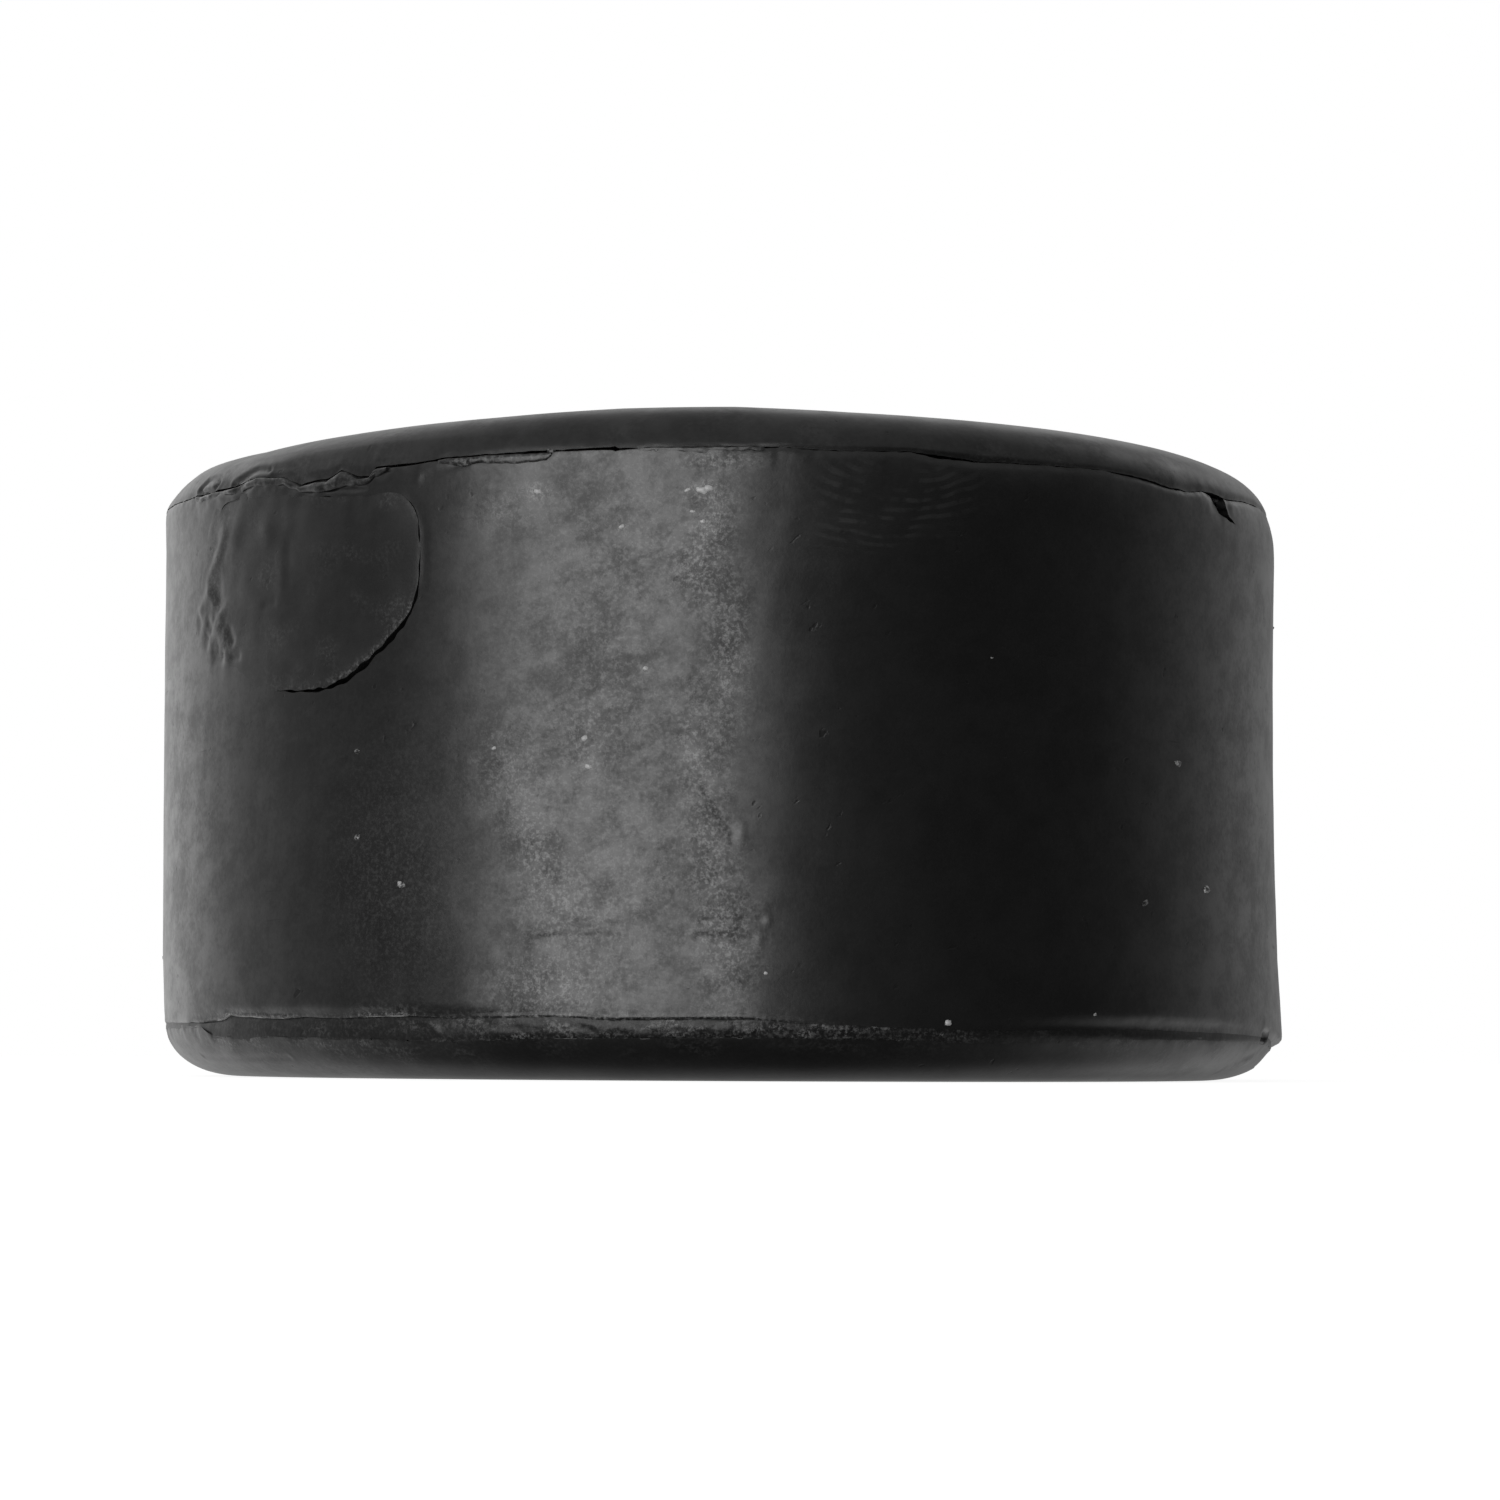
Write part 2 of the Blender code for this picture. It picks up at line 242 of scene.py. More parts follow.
# Scuffed and dusty places on the wall: bearing, height, half width, half height, tilt, strength
SCUFFS = (
    (-11, 18, 6, 40, 0, 0.3), (-16.4, 14, 1.3, 2.8, 18, 0.65), (-15.6, 5.6, 2.8, 1.6, 0, 0.7),
    (-19, 18.8, 2.2, 2.6, 10, 0.4), (-14.5, 10.5, 2, 2.2, 20, 0.3), (-1.2, 35.6, 1, 0.6, 15, 0.9),
    (-0.5, 33.4, 1.1, 2.2, -20, 0.9), (-1.6, 30.4, 1.4, 2, 20, 0.7), (1, 26, 1.2, 4.4, 0, 0.75),
    (-1.6, 19.4, 1.5, 4.4, 4, 0.7), (-0.4, 13.5, 1.2, 3, 0, 0.7), (1, 8.4, 1.7, 3.8, 0, 0.8),
    (0, 37.4, 2, 0.5, 0, 0.9), (-12, 20.4, 1.6, 2, 0, 0.4), (-9, 24, 2.4, 4.5, 8, 0.25),
    (-7, 32, 3, 3.5, 0, 0.2), (-12.5, 9, 3, 4, 0, 0.25), (-6, 12, 3, 5, 0, 0.2),
    (-16.6, 35.7, 0.8, 0.5, 0, 0.7), (-20.5, 34.6, 2, 1.2, 0, 0.25), (-31, 12.5, 5, 8, 0, 0.12),
    (-66, 16, 6, 14, 0, 0.2), (64, 18, 6, 14, 0, 0.15), (140, 20, 12, 9, 20, 0.35),
    (-150, 15, 12, 8, -15, 0.4), (175, 26, 8, 6, 0, 0.35), (105, 12, 8, 6, 0, 0.25),
    (-115, 27, 9, 6, 10, 0.3),
)

# Pale smears on the lower facing's shoulder, and a painted highlight streak along the ridge at bearings 64
# to 70, in the same way
FACING_SMEARS_AND_HIGHLIGHT = (
    (67.5, 1.1, 2, 0.22, 12, 0.9), (73.8, 2.4, 0.7, 0.25, 0, 0.7), (51.6, 2.5, 0.7, 0.2, 0, 0.5),
    (56, 0.8, 5, 0.4, 0, 0.3), (-71, 2, 1.5, 0.3, 0, 0.5), (-57.2, 2.1, 1.6, 0.25, 0, 0.5),
    (-40.9, 2.1, 0.9, 0.22, 0, 0.6), (-35.9, 2.2, 0.9, 0.22, 0, 0.6), (-39, 0.4, 3, 0.3, 0, 0.4),
    (-56, 0.6, 4, 0.3, 0, 0.3),
)

# How clean the rubber is rubbed, by bearing: a clean stretch is darker and takes a sharper shine
CLEANNESS = (
    (-180, 0.3), (-120, 0.3), (-80, 0.2), (-50, 0.2), (-40, 0.45), (-30, 0.35), (-22, 0.1), (2, 0.1),
    (7, 0.7), (14, 0.88), (45, 0.88), (56, 0.5), (75, 0.3), (120, 0.3), (180, 0.3),
)

# Grit pressed into the rubber, pale and dull: bearing, height, size
PALE_GRIT = (
    (-6.4, 24.8, 0.24), (-12, 20.6, 0.24), (-11.6, 18.9, 0.2), (-1.4, 35.6, 0.36), (-0.8, 35.72, 0.3),
    (-2.7, 35.6, 0.2), (-2.2, 34.3, 0.16), (-1.3, 33.7, 0.18), (4.6, 6.5, 0.14), (-8.7, 33.4, 0.22),
    (-16.6, 35.7, 0.2), (-20.7, 20.1, 0.18),
)
DULL_GRIT = (
    (-35.6, 20.2, 0.26), (-35.5, 14.9, 0.28), (-30.3, 11.9, 0.28), (50.1, 20.2, 0.36), (55, 12.3, 0.38),
    (44.6, 11.2, 0.32), (26.2, 25.9, 0.1), (37.6, 4.2, 0.14), (21.6, 3.6, 0.24), (96, 24, 0.24),
    (118, 10, 0.22), (139, 30, 0.26), (158, 17, 0.2), (-176, 8, 0.26), (-155, 23, 0.24), (-133, 31, 0.2),
    (-121, 13, 0.26), (-104, 21, 0.22), (171, 33, 0.2), (-84, 8, 0.2), (84, 31, 0.2),
)

# Torn crumbs along the upper joint and along the lower one: bearing, height, size
JOINT_CRUMBS = (
    (-5.5, 38.05, 0.3), (-1.1, 38.05, 0.24), (0.4, 38, 0.2), (-15.4, 38.15, 0.26), (-26.7, 37.6, 0.16),
    (-25.2, 37.75, 0.24), (-33, 37.5, 0.22), (-52, 37.95, 0.3), (-47, 37.6, 0.34), (-37, 37.3, 0.3),
    (110, 38, 0.3), (128, 37.8, 0.24), (152, 38, 0.3), (170, 37.7, 0.26), (-168, 38, 0.3),
    (-149, 37.8, 0.24), (-131, 38, 0.32), (-108, 37.9, 0.26),
)
FOOT_CRUMBS = (
    (21, 2.9, 0.2), (110, 3, 0.3), (135, 3.2, 0.26), (163, 3, 0.3), (-170, 3.1, 0.3), (-140, 3, 0.26),
    (-112, 3.2, 0.3),
)

# How much higher or lower the worn top edge lies, by bearing
TOP_EDGE_WEAR = (
    (-180, 0), (-100, 0), (-72, 0.1), (-58, -0.3), (-42, -0.26), (-24, -0.1), (-10, 0.14), (2, 0.2),
    (14, 0.05), (28, 0), (180, 0),
)

# How much rubber is smeared over the lower facing's shoulder, by bearing
SMEARED = (
    (-180, 0.4), (-100, 0.4), (-70, 1), (-52, 0.8), (-30, 0.4), (-20, 0.1), (30, 0.1), (50, 0.4),
    (180, 0.4),
)

# Brightness of the room round the puck, by bearing
ROOM_WALLS = (
    (-180, 0.4), (-168, 0.65), (-156, 0.8), (-138, 0.8), (-128, 0.72), (-117, 0.5), (-103, 0.36),
    (-93, 0.3), (-84, 0.22), (-76, 0.17), (-64, 0.14), (20, 0.08), (40, 0.035), (60, 0.02), (84, 0.05),
    (97, 0.15), (107, 0.2), (115, 0.25), (124, 0.3), (134, 0.32), (150, 0.28), (162, 0.3), (180, 0.4),
)


# Wall geometry


def along(table, place):
    """A table's value at each bearing or height."""
    places, values = zip(*table)
    return np.interp(place, places, values)


def bell(value, width):
    """1 at 0, falling smoothly to nothing a few widths to either side."""
    return np.exp(-((value / width) ** 2))


def fading(value, width):
    """1 up to 0, then falling off over this width."""
    return np.exp(-np.maximum(value, 0) / width)


def smooth_step(value, low, high):
    """0 below low, 1 above high, and an even slope between them."""
    share = np.clip((value - low) / (high - low), 0, 1)
    return share * share * (3 - 2 * share)


def ring_noise(bearing, seed, slowest, finest, falloff):
    """Ragged variation round the puck, about -1 to 1, that closes on itself."""
    dice = np.random.default_rng(seed)
    turns = np.radians(np.linspace(-180, 180, 2881))
    orders = np.arange(slowest, finest)
    phases = dice.uniform(0, 2 * math.pi, len(orders))
    wave = np.sin(np.outer(turns, orders) + phases) @ orders ** (-falloff)
    wave /= 2.2 * np.std(wave)
    return np.interp(np.radians(bearing), turns, wave)


def lump_noise(points, size, seed):
    """Smooth lumps about this size in millimetres, about -1 to 1, from waves that cross at random."""
    dice = np.random.default_rng(seed)
    waves = 28
    directions = dice.normal(size=(waves, 3))
    directions /= np.linalg.norm(directions, axis=1)[:, None]
    paces = 2 * math.pi / (size * dice.uniform(1.3, 2.8, waves))
    phases = dice.uniform(0, 2 * math.pi, waves)
    total = np.zeros(len(points))
    for direction, pace, phase in zip(directions, paces, phases):
        total += np.sin(points @ direction * pace + phase)
    return total / math.sqrt(waves) / 1.4


def lumps(points, *layers):
    """Layers of lumps on each other, each with its depth, size and seed."""
    return sum(depth * lump_noise(points, size, seed) for depth, size, seed in layers)


def polar(points):
    """Bearing in degrees, reach from the axis and height of each point."""
    bearing = np.degrees(np.arctan2(points[:, 0], -points[:, 1]))
    return bearing, np.hypot(points[:, 0], points[:, 1]), points[:, 2].copy()


def from_polar(bearing, reach, height):
    turn = np.radians(bearing)
    return np.column_stack((reach * np.sin(turn), -reach * np.cos(turn), height))


def unrolled(bearing, height):
    """Places on the wall as flat points, in millimetres."""
    return np.column_stack((np.radians(bearing) * WALL, height))


def flat_point(place):
    """One (bearing, height) place on the wall as a flat point."""
    return unrolled(*np.array([place]).T)[0]


def wall_reach(bearing, height):
    """Distance of the built-up wall from the true axis."""
    return WALL + along(WALL_SWELL, height) + along(WALL_SWAY, height) * np.sin(np.radians(bearing))


def top_shoulder(height):
    """Reach of the top facing's rounded shoulder at each height."""
    reach, rise = TOP_SHOULDER
    share = (height - PUCK_TOP + rise) / rise
    return WALL - reach * (1 - np.sqrt(np.maximum(1 - share**2, 0)))


def bottom_shoulder(height):
    """Reach of the lower facing's full, rounded shoulder at each height."""
    reach, rise = BOTTOM_SHOULDER
    under = np.clip((rise - height) / rise, 0, 1)
    return WALL - reach * (1 - (1 - under**SHOULDER_FULLNESS) ** (1 / SHOULDER_FULLNESS))


def dented_shoulder(bearing, height):
    """Reach of the lower facing's shoulder with the dent under the wall's flare."""
    return bottom_shoulder(height) - 0.21 * bell(bearing - 86, 18) * bell(height - 1.65, 0.8)


def upper_joint(bearing):
    """Heights along the upper joint: the facing's edge, the top of the ply's rim and the core's lip."""
    line = along(UPPER_LINE, bearing)
    half_gap = along(UPPER_GAP, bearing) / 2
    facing_edge = line + half_gap + 0.03 * ring_noise(bearing, 5, 30, 400, 0.5)
    rim_top = line - half_gap + 0.03 * ring_noise(bearing, 10, 30, 400, 0.5)
    return facing_edge, rim_top, rim_top - along(RIM_STRIP, bearing)


def lip_turn(bearing, away):
    """How far a lip of the upper joint turns in, this far away from its edge."""
    return 0.13 * along(SOFT_LIPS, bearing) * bell(np.maximum(away, 0), 0.2)


def foot_turn(bearing, above):
    """How far the core's foot turns in, this far above its edge: sharp where the line under it is open."""
    is_open = along(OPEN_LINES, bearing)
    smooth = along(PLY_SET_BACK, bearing) * bell(np.maximum(above, 0), along(FOOT_ROUND, bearing))
    return is_open * 0.1 * fading(above, 0.07) + (1 - is_open) * smooth


def near_path(bearing, height, path):
    """Distance in millimetres, on the wall, from a path of (bearing, height) points."""
    flat = unrolled(bearing, height)
    stops = unrolled(*np.array(path).T)
    nearest = np.full(len(flat), 1e3)
    for start, end in zip(stops, stops[1:]):
        run = end - start
        share = np.clip((flat - start) @ run / (run @ run), 0, 1)
        nearest = np.minimum(nearest, np.linalg.norm(flat - start - share[:, None] * run, axis=1))
    return nearest


def torn_share(from_tear):
    """How torn the rubber is, from 0 to 1, this far from the patch's torn side."""
    return fading(from_tear - 0.8, 0.9)


def fold_relief(bearing, height):
    """How far the folds, and the lumps along the patch's torn side, sink or raise the surface.

    A narrow crease has a soft roll on both its sides.
    """
    relief = np.zeros(len(bearing))
    for depth, half_width, *path in FOLDS:
        away = near_path(bearing, height, path) / half_width
        roll = 0.35 if half_width < 0.25 else 0.0
        relief += depth * (roll * bell(away - 2.2, 1) - bell(away, 1))
    from_tear = near_path(bearing, height, PATCH_TEAR)
    torn = from_tear < 4
    place = from_polar(bearing[torn], WALL, height[torn])
    bits = lumps(place, (0.07, 0.9, 41), (0.02, 0.4, 42))
    bits *= along(((30, 1), (32, 0.4), (38, 0.25)), height[torn])
    relief[torn] += bits * torn_share(from_tear[torn])
    return relief


def spot_marks(bearing, height, spots):
    """How strongly the spots of a table mark each place, as wear, and as painted highlight where the table
    gives one.
    """
    wear = np.zeros(len(bearing))
    for spot_bearing, spot_height, half_width, half_height, tilt, strength in spots:
        aside = np.radians((bearing - spot_bearing + 180) % 360 - 180) * WALL
        up = height - spot_height
        cosine, sine = math.cos(math.radians(tilt)), math.sin(math.radians(tilt))
        across, climb = aside * cosine + up * sine, up * cosine - aside * sine
        wear += strength * bell(across, half_width) * bell(climb, half_height)
    return wear


# Modelling helpers


def only(piece):
    """Selects one object and makes it active."""
    bpy.ops.object.select_all(action="DESELECT")
    piece.select_set(True)
    bpy.context.view_layer.objects.active = piece


def close_up(piece):
    """Welds a piece's doubled points and turns its faces outwards."""
    only(piece)
    bpy.ops.object.mode_set(mode="EDIT")
    bpy.ops.mesh.select_all(action="SELECT")
    bpy.ops.mesh.remove_doubles(threshold=WELD)
    bpy.ops.mesh.normals_make_consistent(inside=False)
    bpy.ops.object.mode_set(mode="OBJECT")


def turn_on_lathe(name, profile, steps):
    """Extrudes a line of (reach, height) points from one vertex and turns it round the puck's axis."""
    bpy.ops.object.select_all(action="DESELECT")
    bpy.ops.mesh.primitive_plane_add(size=MM)
    piece = bpy.context.object
    piece.name = name
    piece.data.name = name
    bpy.ops.object.mode_set(mode="EDIT")
    bpy.ops.mesh.select_all(action="SELECT")
    bpy.ops.mesh.merge(type="CENTER")
    stops = [Vector((reach * MM, 0, height * MM)) for reach, height in profile]
    bpy.ops.transform.translate(value=stops[0])
    for start, end in zip(stops, stops[1:]):
        bpy.ops.mesh.extrude_vertices_move(TRANSFORM_OT_translate={"value": end - start})
    bpy.ops.object.mode_set(mode="OBJECT")
    turn = piece.modifiers.new("turn", "SCREW")
    turn.axis = "Z"
    turn.angle = 2 * math.pi
    turn.steps = steps
    turn.render_steps = steps
    turn.use_merge_vertices = True
    turn.merge_threshold = WELD
    bpy.ops.object.modifier_apply(modifier=turn.name)
    close_up(piece)
    return piece


def points_of(piece):
    """The piece's vertices in millimetres."""
    flat = np.empty(len(piece.data.vertices) * 3)
    piece.data.vertices.foreach_get("co", flat)
    return flat.reshape(-1, 3) / MM


def turned_points(piece):
    """Bearing, reach and height of a turned piece's points, crowded to the front, where the detail is."""
    bearing, reach, height = polar(points_of(piece))
    return bearing - np.degrees(0.4 * np.sin(np.radians(bearing))), reach, height


def put_points(piece, points):
    piece.data.vertices.foreach_set("co", (points * MM).ravel())
    piece.data.update()


def combine(piece, other, operation):
    """Cuts a piece with another closed mesh, which is used up."""
    only(piece)
    cut = piece.modifiers.new("cut", "BOOLEAN")
    cut.operation = operation
    cut.solver = "MANIFOLD"
    cut.object = other
    bpy.ops.object.modifier_apply(modifier=cut.name)
    bpy.data.objects.remove(other, do_unlink=True)


def set_wear(piece, wear):
    """Keeps how dusty each vertex is, with painted highlights in some places, and how clean it is rubbed,
    for the rubber's material.
    """
    bearing = polar(points_of(piece))[0]
    for name, values in (("wear", np.clip(wear, 0, 1.5)), ("clean", along(CLEANNESS, bearing))):
        layer = piece.data.attributes.new(name, "FLOAT", "POINT")
        layer.data.foreach_set("value", values.astype(np.float32))


def finish_piece(piece, node, material, angle=50):
    """Turns faces outwards, smooths, dresses and seats a piece in place of its CAD node."""
    close_up(piece)
    bpy.ops.object.shade_smooth_by_angle(angle=math.radians(angle))
    piece.data.materials.clear()
    piece.data.materials.append(material)
    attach(piece, "root")
    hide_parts(node)


def crumb_shapes():
    """A few torn crumbs of about unit size, to be copied."""
    shapes = []
    for seed in range(4):
        bpy.ops.object.select_all(action="DESELECT")
        bpy.ops.mesh.primitive_ico_sphere_add(subdivisions=2, radius=1.0)
        crumb = bpy.context.object
        bpy.ops.object.mode_set(mode="EDIT")
        bpy.ops.mesh.select_all(action="SELECT")
        bpy.ops.transform.vertex_random(offset=0.28, normal=0.5, seed=seed)
        bpy.ops.object.mode_set(mode="OBJECT")
        shapes.append(crumb)
    return shapes


def add_crumbs(piece, shapes, places, reach_at, wear, sink):
    """Copies crumbs to their places on the wall and joins them to a piece, each with this much wear."""
    copies = []
    for index, (bearing, height, size) in enumerate(places):
        dice = np.random.default_rng(index + 11)
        crumb = shapes[index % len(shapes)].copy()
        crumb.data = crumb.data.copy()
        bpy.context.scene.collection.objects.link(crumb)
        reach = reach_at(np.array([bearing]), np.array([height]))[0] - size * sink * 0.5
        spread = dice.uniform(0.7, 1.2, 2)
        squash = Matrix.Diagonal((size * spread[0], size * 0.5, size * 0.7 * spread[1], 1.0))
        tilt = Matrix.Rotation(dice.uniform(-0.5, 0.5), 4, "Y")
        place = Matrix.Rotation(math.radians(bearing), 4, "Z") @ Matrix.Translation((0, -reach, height))
        crumb.data.transform(Matrix.Scale(MM, 4) @ place @ tilt @ squash)
        set_wear(crumb, np.full(len(crumb.data.vertices), wear))
        copies.append(crumb)
    only(piece)
    for crumb in copies:
        crumb.select_set(True)
    bpy.ops.object.join()


def even_loop(table, samples):
    """Evenly spaced points on the unrolled wall along a closed outline, with the table's other values."""
    table = np.array(table + table[:1])
    flat = np.column_stack((unrolled(table[:, 0], table[:, 1]), table[:, 2:]))
    steps = np.linalg.norm(np.diff(flat[:, :2], axis=0), axis=1)
    travelled = np.concatenate(([0], np.cumsum(steps)))
    stops = np.linspace(0, travelled[-1], samples, endpoint=False)
    return np.column_stack([np.interp(stops, travelled, column) for column in flat.T])


def wall_block(name, loop, middle, depth, rise):
    """A closed block with this outline, from this deep in the wall to this far above it."""
    samples = len(loop)
    rows = (0, 3, 6, 8, 9, 10)
    upper = [(row, 1.0) for row in rows]
    lower = [(row, -1.0) for row in reversed(rows)]
    block = turn_on_lathe(name, [*upper, *lower], samples)
    points = points_of(block)
    turn = np.degrees(np.arctan2(points[:, 1], points[:, 0])) % 360
    edge = loop[np.rint(turn / 360 * samples).astype(int) % samples, :2]
    share = np.minimum(np.hypot(points[:, 0], points[:, 1]) / rows[-1], 1)
    flat = flat_point(middle) + share[:, None] * (edge - flat_point(middle))
    reach = WALL + np.where(points[:, 2] > 0, rise, -depth)
    put_points(block, from_polar(np.degrees(flat[:, 0] / WALL), reach, flat[:, 1]))
    close_up(block)
    return block


def inside_loop(flat, loop):
    """Which flat points lie inside a closed loop, by counting the edges to one side of each."""
    crossed = np.zeros(len(flat), dtype=bool)
    for start, end in zip(loop, np.roll(loop, -1, axis=0)):
        straddles = (start[1] > flat[:, 1]) != (end[1] > flat[:, 1])
        rise = end[1] - start[1]
        share = (flat[:, 1] - start[1]) / (rise if rise else 1.0)
        crossed ^= straddles & (flat[:, 0] < start[0] + share * (end[0] - start[0]))
    return crossed


# Pieces


def shape_core(material, shapes):
    foot_rows = (3.62, 3.66, 3.72, 3.8, 3.9, 4.02, 4.18, 4.4, 4.7, 5.1, 5.6)
    stretches = ((6.2, 8.2, 4), (8.2, 10.2, 14), (10.2, 18.2, 16), (18.2, 26.2, 8), (26.2, 35.2, 23))
    middle_rows = [np.linspace(*stretch, endpoint=False) for stretch in stretches]
    crown_rows = (35.2, 35.7, 36.1, 36.45, 36.75, 37, 37.2, 37.36, 37.5, 37.6, 37.68, 37.74, 37.78, 37.8)
    wall = [(WALL, height) for height in np.concatenate((foot_rows, *middle_rows, crown_rows))]
    foot = [(0, 3.75), (34, 3.75), (36.8, 3.7), (37.6, 3.64)]
    crown = [(37.8, 37.78), (37.5, 37.6), (SEAT, 37.35), (36, 37.25), (0, 37.25)]
    piece = turn_on_lathe("puck_core", [*foot, *wall, *crown], steps=960)
    bearing, reach, height = turned_points(piece)
    points = from_polar(bearing, reach, height)
    on_wall = reach > 37.4
    above_foot, below_lip = height - CORE_BLANK_FOOT, CORE_BLANK_LIP - height
    low = np.clip(1 - above_foot / 2.4, 0, 1) ** 2
    high = np.clip(1 - below_lip / 2.1, 0, 1) ** 1.5
    foot_edge = along(CORE_FOOT, bearing) + 0.03 * ring_noise(bearing, 7, 20, 200, 0.5)
    _facing_edge, _rim_top, lip = upper_joint(bearing)
    drawn = height + low * (foot_edge - CORE_BLANK_FOOT) + high * (lip - CORE_BLANK_LIP)
    body = wall_reach(bearing, drawn) - (WALL - np.minimum(reach, WALL))
    body += low * low * along(OPEN_LINES, bearing) * lumps(points, (0.025, 0.4, 51), (0.015, 0.2, 52))
    body += high * along(LUMPINESS, bearing) * lumps(points, (0.12, 1.0, 55), (0.04, 0.4, 56))
    body += along(FOOT_BEAD, bearing) * bell(above_foot - 0.14, 0.1)
    body -= foot_turn(bearing, above_foot)
    body -= along(LIP_ROUND, bearing) * np.clip((drawn - 36.2) / 1.7, 0, 1) ** 2
    body -= 0.012 * fading(below_lip, 0.03) + lip_turn(bearing, lip - drawn)
    body += lumps(points, (0.012, 3.0, 53), (0.004, 0.9, 54)) + fold_relief(bearing, drawn)
    shaped = from_polar(bearing, np.where(on_wall, body, reach), np.where(on_wall, drawn, height))
    put_points(piece, shaped)
    pocket = wall_block("pocket_cutter", patch_loop(0.0, 360), PATCH_MIDDLE, POCKET_DEPTH, 1.5)
    combine(piece, pocket, "DIFFERENCE")
    notch = wall_block("notch_cutter", notch_loop(120), NOTCH_MIDDLE, NOTCH_DEPTH, 1.5)
    combine(piece, notch, "DIFFERENCE")
    set_wear(piece, core_wear_and_highlight(points_of(piece)))
    add_crumbs(piece, shapes, PALE_GRIT, wall_reach, wear=1.5, sink=0.3)
    add_crumbs(piece, shapes, DULL_GRIT, wall_reach, wear=1.24, sink=0.3)
    finish_piece(piece, "core", material)


def core_wear_and_highlight(points):
    """How worn the core is: its scuffs, and pale dust on the bead along its foot, partly a painted highlight
    where the bead catches the light.
    """
    bearing, _reach, height = polar(points)
    # Painted highlight: the flash bead along the foot is painted pale, partly as dust and partly for the
    # light it catches.
    bead_dust_and_highlight = 13 * along(FOOT_BEAD, bearing) * fading(height - along(CORE_FOOT, bearing), 0.22)
    return spot_marks(bearing, height, SCUFFS) + bead_dust_and_highlight


def notch_loop(samples):
    loop = even_loop(TORN_NOTCH, samples)
    return loop + 0.05 * lump_noise(np.column_stack((loop, 0 * loop[:, 0])), 0.3, 47)[:, None]


def shape_top_facing(material):
    rim_rows = (38.25, 38.3, 38.38, 38.48, 38.6, 38.75, 38.92, 39.12, 39.35, 39.55)
    crown_rows = PUCK_TOP - TOP_SHOULDER[1] * (1 - np.sin(np.linspace(0, math.pi / 2, 22)))
    rows = (*rim_rows, *crown_rows[crown_rows > 39.6])
    underside = [(0, 38.3), (35, 38.3), (37.6, 38.28)]
    shoulder = [(top_shoulder(height), height) for height in rows]
    flat = [(span, PUCK_TOP) for span in (31.6, 30, 26, 20, 13, 6, 0)]
    piece = turn_on_lathe("puck_top_facing", [*underside, *shoulder, *flat], steps=1080)
    bearing, span, height = turned_points(piece)
    points = from_polar(bearing, span, height)
    outer = span > 37.0
    above = height - TOP_BLANK_RIM
    near_rim = np.clip(1 - above / 1.3, 0, 1) ** 2
    edge, _rim_top, _lip = upper_joint(bearing)
    rough = along(LUMPINESS, bearing)
    torn = rough * lumps(points * FLAT_LUMPS, (0.07, 0.5, 21), (0.03, 0.24, 22))
    lip = along(FACING_LIP, bearing) * np.clip(1 - above / 1.8, 0, 1)
    span += outer * (lip + near_rim * torn - lip_turn(bearing, above))
    height += outer * near_rim * (edge - TOP_BLANK_RIM)
    span += np.where(span > 30, 0.018 * lump_noise(points, 2.5, 23), 0)
    span += np.where(span > 36, fold_relief(bearing, height), 0)
    height += along(TOP_EDGE_WEAR, bearing) * smooth_step(span, 25, 32) * smooth_step(height, 39.2, 40.6)
    put_points(piece, from_polar(bearing, span, height) + (TOP_FACING_SWAY, 0, 0))
    cloudy = 0.25 * np.clip(lump_noise(points, 2.0, 24), 0, 1)
    set_wear(piece, near_rim * rough * outer * 0.3 + cloudy)
    finish_piece(piece, "top_facing", material)


def shape_bottom_facing(material):
    rows = (
        2.55, 2.5, 2.42, 2.32, 2.2, 2.05, 1.9, 1.75, 1.6, 1.46, 1.34, 1.22, 1.1, 0.98, 0.86, 0.74, 0.62,
        0.5, 0.4, 0.31, 0.23, 0.16, 0.1, 0.06, 0.03, 0.01,
    )
    upper_side = [(0, 2.45), (34, 2.45), (37.2, 2.5)]
    shoulder = [(bottom_shoulder(height), height) for height in rows]
    flat = [(span, 0) for span in (WALL - BOTTOM_SHOULDER[0], 30, 24, 15, 0)]
    piece = turn_on_lathe("puck_bottom_facing", [*upper_side, *shoulder, *flat], steps=1080)
    bearing, span, height = turned_points(piece)
    points = from_polar(bearing, span, height)
    outer = (span > 35.9) & (height > 0.9)
    below_edge = BOTTOM_BLANK_RIM - height
    near_rim = np.clip(1 - below_edge / 1.2, 0, 1) ** 2
    edge = along(FACING_EDGE, bearing) + 0.1 - 0.14 * along(OPEN_LINES, bearing)
    edge += 0.045 * ring_noise(bearing, 6, 20, 160, 0.5)
    smeared = along(SMEARED, bearing)
    torn = smeared * lumps(points * FLAT_LUMPS, (0.05, 0.5, 31), (0.035, 0.25, 32))
    height += outer * near_rim * (edge - BOTTOM_BLANK_RIM)
    rim = dented_shoulder(bearing, height) + near_rim * torn - 0.02 * fading(below_edge, 0.05)
    span = np.where(outer, rim, span)
    span += np.where(span > 33, 0.018 * lump_noise(points, 2.5, 33) + fold_relief(bearing, height), 0)
    put_points(piece, from_polar(bearing, span, np.maximum(height, 0)) + (BOTTOM_FACING_SWAY, 0, 0))
    blotches = 0.2 + 0.8 * np.clip(lump_noise(points * FLAT_LUMPS, 0.8, 34) + 0.2, 0, 1)
    # The first of the facing's spots is a painted highlight along the ridge near bearing 67.
    wear = smeared * np.clip(height / 2.0, 0.15, 1) * blotches + spot_marks(bearing, height, FACING_SMEARS_AND_HIGHLIGHT)
    set_wear(piece, np.minimum(wear, 1) * (span > 33))
    finish_piece(piece, "bottom_facing", material)


